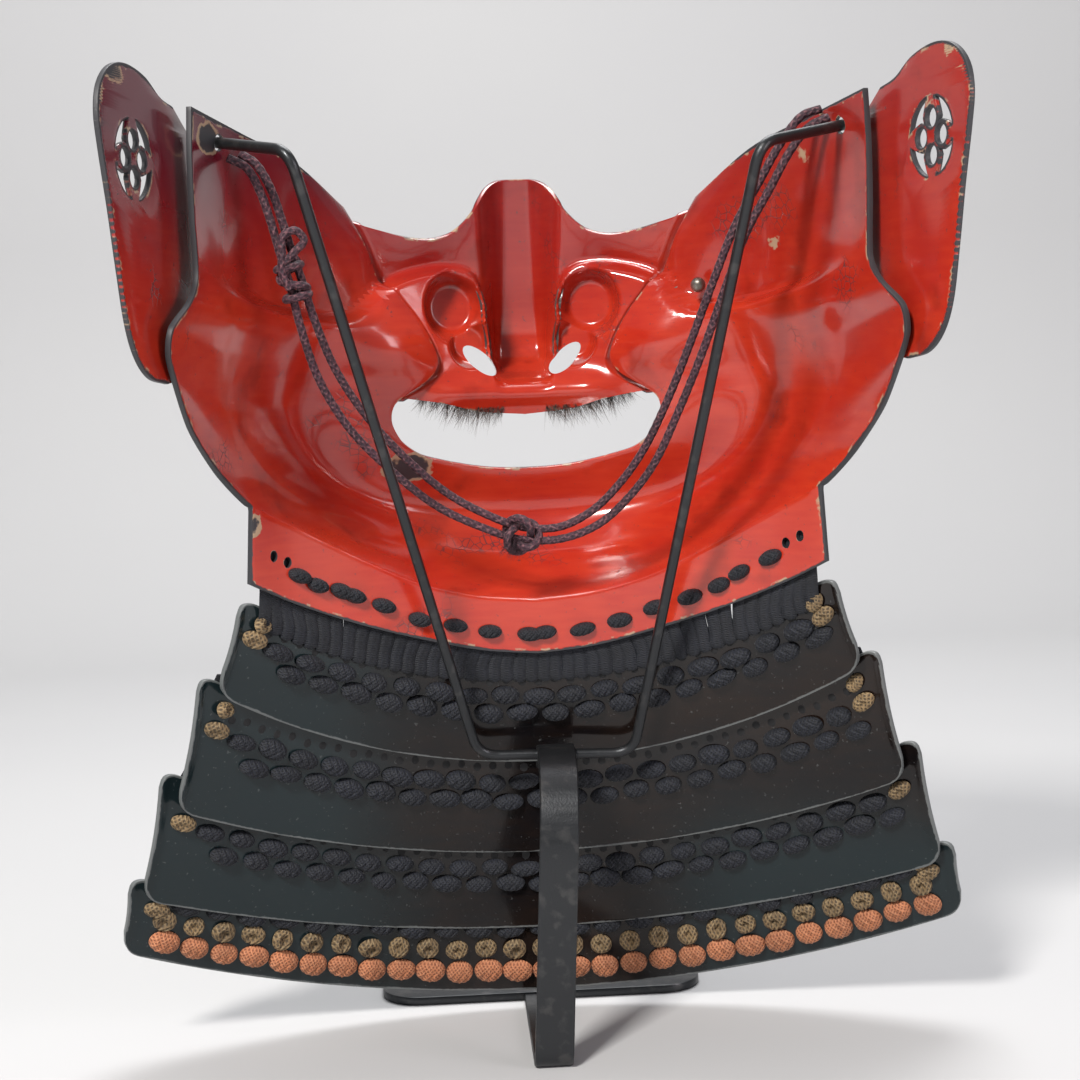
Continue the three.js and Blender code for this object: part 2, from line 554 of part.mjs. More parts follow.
/** The flat strap in side view: from the wire it arcs back and drops to the floor, then runs forward. */
function strapOutline() {
  const { thickness, back, bend } = STRAP;
  const [, front, top] = STRAP.top;
  const end = FOOT_PLATE.from + 8;
  const shape = new THREE.Shape();
  shape.moveTo(front + 1.4, top + 1.4);
  shape.quadraticCurveTo(back, top + 1.4, back, top - 26);
  shape.lineTo(back, bend);
  shape.quadraticCurveTo(back, 0, back + bend, 0);
  shape.lineTo(end, 0);
  shape.lineTo(end, thickness);
  shape.lineTo(back + bend, thickness);
  shape.quadraticCurveTo(back + thickness, thickness, back + thickness, bend);
  shape.lineTo(back + thickness, top - 26);
  shape.quadraticCurveTo(back + thickness, top - 0.8, front + 1.4, top - 0.8);
  return shape;
}

function stand() {
  const points = WIRE_ROUTE.map(point => vector(...point));
  for (const side of [-1, 1]) {
    const [tip, bend] = wireEnd(side);
    const reach = tip.clone().sub(bend).setLength(TIP_LENGTH);
    (side < 0 ? points[0] : points[points.length - 1]).add(reach);
  }
  const wire = rod(points, WIRE_DIAMETER, WIRE_BEND, 8, 52);
  const strap = new THREE.ExtrudeGeometry(strapOutline(), { depth: STRAP.width, bevelEnabled: false, curveSegments: 7 });
  strap.rotateX(Math.PI / 2).rotateZ(Math.PI / 2).translate(STRAP.top[0] - STRAP.width / 2, 0, 0);
  const shear = new THREE.Matrix4().makeShear(0, 0, 0, 0, STRAP.lean, 0);
  strap.translate(0, 0, -STRAP.top[2]).applyMatrix4(shear).translate(0, 0, STRAP.top[2]);
  const { width, from, to, thickness, corner } = FOOT_PLATE;
  const outline = roundedRectangle(-width / 2, from, width / 2, to, corner);
  const foot = new THREE.ExtrudeGeometry(outline, { depth: thickness, bevelEnabled: false, curveSegments: 4 });
  return join(wire, strap, foot);
}

// ---- Moustache, peg and chin cord ----------------------------------------------------------------
const MOUSTACHE = { from: 6, to: 29.5, locks: 7, backing: 3.2, drop: 9 };

/** One half of the moustache: a backing strip on the lip's outer face with tapering locks below it. */
function moustache(side) {
  const { from, to, locks, backing, drop } = MOUSTACHE;
  const strip = [];
  const parts = [];
  const spot = (x, z, out) => pushOut(onCylinder(side * x, z, NOSE_RADIUS + IRON + 2 * GAP), out);
  for (let i = 0; i <= 8; i++) {
    const x = side > 0 ? lerp(from, to, i / 8) : lerp(to, from, i / 8);
    const lip = along(LIP_LINE, x);
    strip.push([spot(x, lip + backing, 0), spot(x, lip - 0.6, 0)]);
  }
  parts.push(plate(strip, 1.4));
  for (let k = 0; k < locks; k++) {
    const x = lerp(from + 1.8, to - 1.8, k / (locks - 1));
    const lip = along(LIP_LINE, x);
    const length = drop * (0.55 + 0.45 * Math.sin(Math.PI * (k + 1) / (locks + 1)));
    const lock = new THREE.ConeGeometry(2.1, length, 5);
    lock.scale(1, 1, 0.4).rotateX(-Math.PI / 2);
    const at = spot(x, lip + 0.8 - length / 2, 0.7);
    parts.push(lock.translate(at.x, at.y, at.z));
  }
  return join(...parts);
}

/** The round head of the peg that holds the nose piece, on the inner face of the right cheek. */
function nosePeg() {
  const foot = vector(48.2, 18.8, 209.1);
  const inwards = vector(-0.45, -0.88, -0.15).normalize();
  const head = new THREE.SphereGeometry(2.1, 8, 6).scale(1, 0.7, 1);
  const turn = new THREE.Quaternion().setFromUnitVectors(vector(0, 1, 0), inwards);
  return head.applyQuaternion(turn).translate(foot.x, foot.y, foot.z);
}

/** One strand of the chin cord, as a plain tube along its route. */
function strand(route, diameter, steps) {
  const path = new THREE.CatmullRomCurve3(route.map(point => vector(...point)));
  return tube(path, diameter, 8, steps);
}

/** A knot around both strands: a lumpy ball with a passage for each strand. */
function knot({ at, radii, tilt }) {
  const ball = new THREE.SphereGeometry(1, 10, 8);
  ball.scale(...radii).rotateY(tilt).translate(...at);
  const passages = [LOWER_STRAND, UPPER_STRAND].map(route => strand(route, CORD_DIAMETER + KNOT_CLEARANCE, CORD_STEPS));
  return cut(ball, ...passages);
}

// ---- Scene ---------------------------------------------------------------------------------------
const finish = (color, roughness, metalness = 0) => new THREE.MeshStandardMaterial({ color, roughness, metalness });
const RED_LACQUER = finish(0xa8201a, 0.25);
const BLACK_LACQUER = finish(0x14151a, 0.2);
const BLACK_IRON = finish(0x2c2c30, 0.5, 0.8);
const NAVY_SILK = finish(0x171a26, 0.9);
const PURPLE_CORD = finish(0x38202c, 0.9);
const GREY_HAIR = finish(0x4a4540, 0.95);
const BARE_METAL = finish(0x8d8a80, 0.4, 0.9);

const guard = new THREE.Group();
function add(name, geometry, material) {
  const mesh = new THREE.Mesh(geometry, material);
  mesh.name = name;
  guard.add(mesh);
}

add('mask_body', maskBody(), RED_LACQUER);
add('nose_piece', nosePiece(), RED_LACQUER);
add('nose_peg', nosePeg(), BARE_METAL);
for (const [name, side] of [['left', -1], ['right', 1]]) {
  add(`ear_plate_${name}`, earPlate(side), RED_LACQUER);
  add(`moustache_${name}`, moustache(side), GREY_HAIR);
}
LAMES.forEach((lame, i) => {
  add(`lame_${i + 1}`, lamePlate(lame), BLACK_LACQUER);
  add(`lacing_${i + 1}`, lacing(i), NAVY_SILK);
});
add('stand', stand(), BLACK_IRON);
add('cord_lower', strand(LOWER_STRAND, CORD_DIAMETER, CORD_STEPS), PURPLE_CORD);
add('cord_upper', strand(UPPER_STRAND, CORD_DIAMETER, CORD_STEPS), PURPLE_CORD);
add('side_knot', knot(SIDE_KNOT), PURPLE_CORD);
add('centre_knot', knot(CENTRE_KNOT), PURPLE_CORD);

export default guard;
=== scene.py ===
"""Samurai face guard (menpo) with its laced throat guard, on a wire and strap stand.

Seen from the wearer's side: +X is the wearer's right, +Y is forward and +Z is up. Tables are in
millimetres, and meshes are made in metres.
"""
import logging
import math
from collections.abc import Callable, Sequence
from dataclasses import dataclass, field
from enum import Enum

import bpy
import numpy as np
from mathutils import Matrix, Vector, kdtree

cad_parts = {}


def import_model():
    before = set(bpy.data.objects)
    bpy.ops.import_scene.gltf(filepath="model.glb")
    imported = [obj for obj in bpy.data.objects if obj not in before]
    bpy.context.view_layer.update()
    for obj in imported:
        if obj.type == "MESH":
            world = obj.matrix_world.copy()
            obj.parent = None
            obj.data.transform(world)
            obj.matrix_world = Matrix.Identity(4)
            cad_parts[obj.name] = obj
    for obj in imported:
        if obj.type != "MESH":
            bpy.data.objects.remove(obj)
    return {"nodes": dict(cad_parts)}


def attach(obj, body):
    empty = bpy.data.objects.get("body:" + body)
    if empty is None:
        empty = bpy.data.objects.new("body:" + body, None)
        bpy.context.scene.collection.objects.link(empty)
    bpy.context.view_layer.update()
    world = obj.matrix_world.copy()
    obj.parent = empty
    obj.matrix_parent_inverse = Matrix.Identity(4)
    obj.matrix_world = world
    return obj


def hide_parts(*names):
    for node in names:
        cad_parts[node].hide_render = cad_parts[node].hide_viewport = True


log = logging.getLogger("face_guard")

MM = 0.001
Array = np.ndarray
Surface = Callable[[Array, Array], Array]
Rgb = tuple[float, float, float]


class Body(Enum):
    """The bodies that pieces ride on."""

    ROOT = "root"


class Slot(Enum):
    """The record's material slots."""

    RED = "red_lacquer"
    BLACK = "black_lacquer"
    IRON = "blackened_iron"
    PEG = "peg_metal"
    SILK = "navy_silk"
    CORD = "purple_cord"
    HAIR = "grey_hair"


class Side(Enum):
    """The wearer's left is towards -X and the right towards +X."""

    LEFT = -1
    RIGHT = 1


# ---- Small mathematics ---------------------------------------------------------------------------
def smooth(value: Array, low: Array, high: Array) -> Array:
    """Smooth step from 0 at low to 1 at high.

    Args:
        value: where the step is read.
        low: the value with result 0.
        high: the value with result 1.

    Returns:
        The step, of the shape of value.
    """
    share = np.clip((value - low) / (high - low), 0, 1)
    return share * share * (3 - 2 * share)


def along(rows: Sequence[tuple[float, float]], position: Array) -> Array:
    """Smooth curve through a table of (position, value) rows, flat beyond its ends.

    Args:
        rows: the table, with rising positions.
        position: where the curve is read.

    Returns:
        The curve's values.
    """
    table = np.asarray(rows, float)
    places, values = table[:, 0], table[:, 1]
    at = np.clip(position, places[0], places[-1])
    i = np.clip(np.searchsorted(places, at, side="right") - 1, 0, len(places) - 2)
    before = np.maximum(np.arange(len(places)) - 1, 0)
    after = np.minimum(np.arange(len(places)) + 1, len(places) - 1)
    slope = (values[after] - values[before]) / (places[after] - places[before])
    span = places[i + 1] - places[i]
    rise = values[i + 1] - values[i]
    t = (at - places[i]) / span
    bend = (1 - t) * (slope[i] * span - rise) - t * (slope[i + 1] * span - rise)
    return values[i] + t * rise + t * (1 - t) * bend


def spline(points: Sequence[Sequence[float]], share: Array, tension: float | None = None) -> Array:
    """Catmull-Rom curve through points, centripetal unless a tension is given.

    Args:
        points: the points that the curve passes.
        share: where it is read, from 0 at the first point to 1 at the last.
        tension: how strongly it swings at a point, for even steps between points.

    Returns:
        The points at each share.
    """
    knots = np.asarray(points, float)
    padded = np.vstack([2 * knots[0] - knots[1], knots, 2 * knots[-1] - knots[-2]])
    place = np.clip(np.asarray(share, float), 0, 1) * (len(knots) - 1)
    i = np.minimum(place.astype(int), len(knots) - 2)
    w = (place - i)[..., None]
    p0, p1, p2, p3 = (padded[i + k] for k in range(4))
    if tension is None:
        pairs = ((p0, p1), (p1, p2), (p2, p3))
        d0, d1, d2 = (np.linalg.norm(b - a, axis=-1, keepdims=True) ** 0.5 + 1e-9 for a, b in pairs)
        leave = ((p1 - p0) / d0 - (p2 - p0) / (d0 + d1) + (p2 - p1) / d1) * d1
        arrive = ((p2 - p1) / d1 - (p3 - p1) / (d1 + d2) + (p3 - p2) / d2) * d1
    else:
        leave, arrive = tension * (p2 - p0), tension * (p3 - p1)
    square = 3 * (p2 - p1) - 2 * leave - arrive
    cube = 2 * (p1 - p2) + leave + arrive
    return p1 + leave * w + square * w**2 + cube * w**3


def unit(vectors: Array) -> Array:
    """The vectors with length 1."""
    return vectors / np.maximum(np.linalg.norm(vectors, axis=-1, keepdims=True), 1e-12)


# ---- Meshes --------------------------------------------------------------------------------------
@dataclass
class Shell:
    """Points and faces of a mesh that is being put together, in millimetres."""

    points: list[Array] = field(default_factory=list)
    faces: list[list[int]] = field(default_factory=list)
    uvs: list[Array] = field(default_factory=list)
    count: int = 0

    def add(self, points: Array, faces: Sequence[Sequence[int]], uvs: Array | None = None) -> None:
        """Adds points with their faces, which number the points from 0.

        Args:
            points: the new points.
            faces: faces over the new points.
            uvs: a place on the surface's own map for each point.
        """
        self.points.append(points)
        self.uvs.append(np.zeros((len(points), 2)) if uvs is None else uvs)
        self.faces.extend([int(k) + self.count for k in face] for face in faces)
        self.count += len(points)

    def build(self, name: str) -> bpy.types.Object:
        """A new object of this mesh, at the origin."""
        mesh = bpy.data.meshes.new(name)
        mesh.from_pydata((np.vstack(self.points) * MM).tolist(), [], self.faces)
        layer = mesh.uv_layers.new(name="UVMap")
        corners = np.zeros(len(mesh.loops), dtype=np.int32)
        mesh.loops.foreach_get("vertex_index", corners)
        layer.data.foreach_set("uv", np.vstack(self.uvs)[corners].astype(np.float32).ravel())
        thing = bpy.data.objects.new(name, mesh)
        bpy.context.scene.collection.objects.link(thing)
        return thing


def set_values(thing: bpy.types.Object, name: str, values: Array) -> None:
    """Stores a number or a vector for each point of an object.

    Args:
        thing: the object.
        name: the attribute's name.
        values: one number or one vector for each point.
    """
    kind, key = ("FLOAT", "value") if values.ndim == 1 else ("FLOAT_VECTOR", "vector")
    attribute = thing.data.attributes.new(name, kind, "POINT")
    attribute.data.foreach_set(key, values.astype(np.float32).ravel())


def points_of(thing: bpy.types.Object) -> Array:
    """The points of an object's mesh, in millimetres."""
    values = np.zeros(3 * len(thing.data.vertices), dtype=np.float32)
    thing.data.vertices.foreach_get("co", values)
    return values.reshape(-1, 3).astype(float) / MM


def settle(thing: bpy.types.Object, sharp_degrees: float = 38.0) -> bpy.types.Object:
    """Applies an object's modifiers and shades it smooth between its sharp edges.

    Args:
        thing: the object.
        sharp_degrees: the angle between faces from which an edge stays sharp.

    Returns:
        The object.
    """
    if thing.modifiers:
        graph = bpy.context.evaluated_depsgraph_get()
        mesh = bpy.data.meshes.new_from_object(thing.evaluated_get(graph))
        worn_out = thing.data
        thing.modifiers.clear()
        thing.data = mesh
        bpy.data.meshes.remove(worn_out)
    thing.data.polygons.foreach_set("use_smooth", [True] * len(thing.data.polygons))
    thing.data.set_sharp_from_angle(angle=math.radians(sharp_degrees))
    return thing


def soften(thing: bpy.types.Object, width: float, segments: int = 2) -> None:
    """Rounds an object's sharp edges to a width in millimetres."""
    bevel = thing.modifiers.new("rounded_edges", "BEVEL")
    bevel.limit_method = "ANGLE"
    bevel.angle_limit = math.radians(50)
    bevel.width = width * MM
    bevel.segments = segments


def grid_normals(grid: Array, kept: Array) -> Array:
    """Normals of a grid's kept cells on the side that faces outwards, one for each point."""
    normals = np.zeros_like(grid)
    down = grid[1:, 1:] - grid[:-1, :-1]
    back = grid[1:, :-1] - grid[:-1, 1:]
    cell = np.cross(back, down) * kept[..., None]
    for rows, columns in ((slice(0, -1), slice(0, -1)), (slice(0, -1), slice(1, None)),
                          (slice(1, None), slice(0, -1)), (slice(1, None), slice(1, None))):
        normals[rows, columns] += cell
    return unit(normals)


def plate(name: str, grid: Array, thickness: float, kept: Array | None = None) -> bpy.types.Object:
    """A closed plate whose inner face is a grid, with its distance to the rim kept for the finish.

    Args:
        name: the object's name.
        grid: points by row and column, rows rightwards and columns down as seen from inside.
        thickness: how thick the plate is.
        kept: which cells of the grid belong to the plate.

    Returns:
        The plate, whose points know "rim", their distance to its edge, and "outside".
    """
    rows, columns = grid.shape[:2]
    if kept is None:
        kept = np.ones((rows - 1, columns - 1), bool)
    outer = grid + grid_normals(grid, kept) * thickness
    total = rows * columns
    number = np.arange(total).reshape(rows, columns)
    a, b, c, d = number[:-1, :-1], number[:-1, 1:], number[1:, 1:], number[1:, :-1]
    inside = np.stack([a, b, c, d], -1)[kept]
    padded = np.pad(kept, 1)
    walls = []
    sides = ((padded[:-2, 1:-1], b, a), (padded[2:, 1:-1], d, c),
             (padded[1:-1, :-2], a, d), (padded[1:-1, 2:], c, b))
    for neighbour, first, second in sides:
        open_side = kept & ~neighbour
        p, q = first[open_side], second[open_side]
        walls.append(np.stack([p, q, q + total, p + total], -1))
    wall = np.vstack(walls)
    faces = np.vstack([inside, inside[:, ::-1] + total, wall])
    used, faces = np.unique(faces, return_inverse=True)
    faces = faces.reshape(-1, 4)
    points = np.vstack([grid.reshape(-1, 3), outer.reshape(-1, 3)])
    shell = Shell()
    shell.add(points[used], faces.tolist())
    thing = shell.build(name)
    border = points[np.unique(wall)]
    tree = kdtree.KDTree(len(border))
    for i, point in enumerate(border):
        tree.insert(point, i)
    tree.balance()
    set_values(thing, "rim", np.array([tree.find(point)[2] for point in points[used]]))
    set_values(thing, "outside", (used >= total).astype(float))
    return thing


def post(centre: Array, direction: Array, radii: tuple[float, float], length: float, sides: int = 24,
         upwards: Array | None = None) -> tuple[Array, list[list[int]]]:
    """A round or oval cylinder, for cutting holes.

    Args:
        centre: its middle.
        direction: the way it stands.
        radii: its half widths, the first along upwards.
        length: from end to end.
        sides: faces round it.
        upwards: the way its first half width points.

    Returns:
        Its points and faces.
    """
    axis = unit(np.asarray(direction, float))
    guide = np.array([0, 0, 1.0]) if upwards is None else np.asarray(upwards, float)
    second = unit(np.cross(axis, guide))
    first = np.cross(second, axis)
    turn = np.linspace(0, 2 * math.pi, sides, endpoint=False)
    ring = np.cos(turn)[:, None] * first * radii[0] + np.sin(turn)[:, None] * second * radii[1]
    points = np.vstack([ring - axis * length / 2, ring + axis * length / 2]) + centre
    faces = [[i, (i + 1) % sides, (i + 1) % sides + sides, i + sides] for i in range(sides)]
    faces += [list(range(sides))[::-1], list(range(sides, 2 * sides))]
    return points, faces


def pierce(thing: bpy.types.Object, posts: Sequence[tuple[Array, list[list[int]]]]) -> None:
    """Cuts cylinders out of an object."""
    shell = Shell()
    for points, faces in posts:
        shell.add(points, faces)
    cutter = shell.build("cutter")
    holes = thing.modifiers.new("holes", "BOOLEAN")
    holes.operation = "DIFFERENCE"
    holes.solver = "MANIFOLD"
    holes.object = cutter
    settle(thing)
    bpy.data.objects.remove(cutter)


def sweep(shell: Shell, path: Array, across: Array, section: Array, uv_step: float = 1.0) -> None:
    """Adds a closed bar with a section swept along a path.

    Args:
        shell: the mesh that takes the bar.
        path: the middle of the bar.
        across: the section's first direction at each point of the path.
        section: (first, second) of the section, anticlockwise, for all points or for each.
        uv_step: millimetres for one unit of the map along the bar.
    """
    tangent = unit(np.gradient(path, axis=0))
    first = unit(across - tangent * np.sum(across * tangent, axis=1, keepdims=True))
    second = np.cross(tangent, first)
    rings, sides = len(path), section.shape[-2]
    ring = np.broadcast_to(section, (rings, sides, 2))
    points = path[:, None] + ring[..., :1] * first[:, None] + ring[..., 1:] * second[:, None]
    run = np.concatenate([[0], np.cumsum(np.linalg.norm(np.diff(path, axis=0), axis=1))])
    u = np.broadcast_to(np.arange(sides) / sides, (rings, sides))
    v = np.broadcast_to(run[:, None] / uv_step, (rings, sides))
    number = np.arange(rings * sides).reshape(rings, sides)
    after = np.roll(number, -1, axis=1)
    faces = np.stack([number[:-1], after[:-1], after[1:], number[1:]], -1).reshape(-1, 4).tolist()
    faces += [number[0][::-1].tolist(), number[-1].tolist()]
    shell.add(points.reshape(-1, 3), faces, np.stack([u, v], -1).reshape(-1, 2))


def circle(radius: float, sides: int) -> Array:
    """A round section."""
    turn = np.linspace(0, 2 * math.pi, sides, endpoint=False)
    return np.stack([np.cos(turn), np.sin(turn)], -1) * radius


def steady_across(path: Array, start: Sequence[float]) -> Array:
    """A direction across a path at each point that turns no more than the path does."""
    tangent = unit(np.gradient(path, axis=0))
    result = np.zeros_like(path)
    current = np.asarray(start, float)
    for i, way in enumerate(tangent):
        current = unit(current - way * np.dot(current, way))
        result[i] = current
    return result


# ---- Geometry Nodes and shader nodes --------------------------------------------------------------
@dataclass
class Graph:
    """A node tree that is being wired."""

    tree: bpy.types.NodeTree

    def add(self, kind: str, values: dict[str | int, object] | None = None,
            **settings: object) -> bpy.types.Node:
        """Adds a node.

        Args:
            kind: the node's type.
            values: what each input gets, a socket to link or a plain value.
            settings: the node's own properties.

        Returns:
            The node.
        """
        node = self.tree.nodes.new(kind)
        for key, value in settings.items():
            setattr(node, key, value)
        for key, value in (values or {}).items():
            self.feed(node.inputs[key], value)
        return node

    def feed(self, socket: bpy.types.NodeSocket, value: object) -> None:
        """Links a socket to an input, or sets the input's value."""
        if isinstance(value, bpy.types.NodeSocket):
            self.tree.links.new(value, socket)
        else:
            socket.default_value = value

    def math(self, operation: str, *values: object) -> bpy.types.NodeSocket:
        """The result of a Math node."""
        return self.add("ShaderNodeMath", dict(enumerate(values)), operation=operation).outputs[0]

    def mix(self, share: object, first: object, second: object) -> bpy.types.NodeSocket:
        """A colour between two."""
        node = self.add("ShaderNodeMix", {0: share, 6: first, 7: second}, data_type="RGBA")
        return node.outputs[2]

    def ramp(self, value: object, low: float, high: float, top: float = 1.0) -> bpy.types.NodeSocket:
        """A smooth step from 0 at low to top at high."""
        values = {"Value": value, "From Min": low, "From Max": high, "To Max": top}
        return self.add("ShaderNodeMapRange", values, interpolation_type="SMOOTHSTEP").outputs[0]

    def noise(self, vector: object, scale: float, detail: float = 3.0) -> bpy.types.NodeSocket:
        """The value of a Noise Texture."""
        return self.add("ShaderNodeTexNoise", {"Vector": vector, "Scale": scale, "Detail": detail}).outputs[0]


def rgba(colour: Rgb) -> tuple[float, float, float, float]:
    """A colour with full alpha."""
    return (*colour, 1.0)


def new_group(name: str, inputs: Sequence[tuple[str, str, object]],
              outputs: Sequence[tuple[str, str]]) -> Graph:
    """A shader node group with named sockets.

    Args:
        name: the group's name.
        inputs: name, socket type and default value of each input.
        outputs: name and socket type of each output.

    Returns:
        The group, with its input and output nodes in place.
    """
    tree = bpy.data.node_groups.new(name, "ShaderNodeTree")
    for title, kind, value in inputs:
        socket = tree.interface.new_socket(title, in_out="INPUT", socket_type=kind)
        if value is not None:
            socket.default_value = value
    for title, kind in outputs:
        tree.interface.new_socket(title, in_out="OUTPUT", socket_type=kind)
    return Graph(tree)


NUMBER, VECTOR = "NodeSocketFloat", "NodeSocketVector"


def wear_group() -> bpy.types.NodeTree:
    """Wear that eats in from a rim: bare metal at the edge and primer chips behind it."""
    graph = new_group("rim_wear", [("Vector", VECTOR, None), ("Rim", NUMBER, 9.0), ("Reach", NUMBER, 1.0)],
                      [("Bare", NUMBER), ("Chipped", NUMBER)])
    given = graph.add("NodeGroupInput").outputs
    broad = graph.noise(given["Vector"], 90.0, 2.0)
    fine = graph.noise(given["Vector"], 700.0, 4.0)
    ragged = graph.math("ADD", graph.math("MULTIPLY", broad, 2.4), graph.math("MULTIPLY", fine, 1.3))
    reach = graph.math("MULTIPLY", given["Reach"], graph.math("SUBTRACT", ragged, 0.85))
    left = graph.math("SUBTRACT", given["Rim"], reach)
    end = graph.add("NodeGroupOutput")
    graph.feed(end.inputs["Bare"], graph.ramp(left, 0.25, -0.1))
    graph.feed(end.inputs["Chipped"], graph.math("MULTIPLY", graph.ramp(left, 0.9, 0.3),
                                                 graph.ramp(graph.noise(given["Vector"], 240.0), 0.55, 0.62)))
    return graph.tree


def lacquer_group() -> bpy.types.NodeTree:
    """The hand-laid surface of lacquer: broad tone, brush runs, dust specks and a height."""
    graph = new_group("lacquer_skin", [("Vector", VECTOR, None)],
                      [("Tone", NUMBER), ("Specks", NUMBER), ("Height", NUMBER)])
    given = graph.add("NodeGroupInput").outputs
    broad = graph.noise(given["Vector"], 28.0, 4.0)
    squeezed = {"Vector": given["Vector"], "Scale": (0.16, 0.16, 1.0)}
    stretched = graph.add("ShaderNodeMapping", squeezed).outputs[0]
    brush = graph.noise(stretched, 620.0, 3.0)
    grain = graph.noise(given["Vector"], 1500.0, 3.0)
    end = graph.add("NodeGroupOutput")
    tone = graph.math("ADD", graph.math("MULTIPLY", broad, 0.7), graph.math("MULTIPLY", brush, 0.3))
    graph.feed(end.inputs["Tone"], graph.ramp(tone, 0.32, 0.68))
    graph.feed(end.inputs["Specks"], graph.ramp(graph.noise(given["Vector"], 950.0, 2.0), 0.68, 0.74))
    waves = graph.math("ADD", graph.math("MULTIPLY", broad, 1.6), graph.math("MULTIPLY", brush, 0.16))
    graph.feed(end.inputs["Height"], graph.math("ADD", waves, graph.math("MULTIPLY", grain, 0.05)))
    return graph.tree


def braid_group() -> bpy.types.NodeTree:
    """Two sets of threads that cross at a slant, read from the piece's own map."""
    graph = new_group("braid", [("Across", NUMBER, 4.0), ("Along", NUMBER, 1.0)],
                      [("Thread", NUMBER), ("Fleck", NUMBER), ("Height", NUMBER)])
    given = graph.add("NodeGroupInput").outputs
    place = graph.add("ShaderNodeUVMap", uv_map="UVMap").outputs[0]
    split = graph.add("ShaderNodeSeparateXYZ", {0: place}).outputs
    u = graph.math("MULTIPLY", split[0], given["Across"])
    v = graph.math("MULTIPLY", split[1], given["Along"])
    waves = []
    for sign in (1.0, -1.0):
        phase = graph.math("MULTIPLY", graph.math("MULTIPLY_ADD", u, sign, v), 2 * math.pi)
        waves.append(graph.math("MULTIPLY_ADD", graph.math("SINE", phase), 0.5, 0.5))
    thread = graph.math("MAXIMUM", *waves)
    fleck = graph.noise(graph.add("ShaderNodeCombineXYZ", {0: u, 1: v}).outputs[0], 2.3, 2.0)
    end = graph.add("NodeGroupOutput")
    graph.feed(end.inputs["Thread"], thread)
    graph.feed(end.inputs["Fleck"], graph.math("MULTIPLY", graph.ramp(fleck, 0.5, 0.6), thread))
    graph.feed(end.inputs["Height"], thread)
    return graph.tree


@dataclass
class Effects:
    """The shader groups that several materials share."""

    wear: bpy.types.NodeTree = field(default_factory=wear_group)
    lacquer: bpy.types.NodeTree = field(default_factory=lacquer_group)
    braid: bpy.types.NodeTree = field(default_factory=braid_group)


def new_material(name: str) -> tuple[bpy.types.Material, Graph, bpy.types.Node]:
    """A material with only its Principled BSDF, and the graph to wire it in."""
    material = bpy.data.materials.new(name)
    material.use_nodes = True
    return material, Graph(material.node_tree), material.node_tree.nodes["Principled BSDF"]


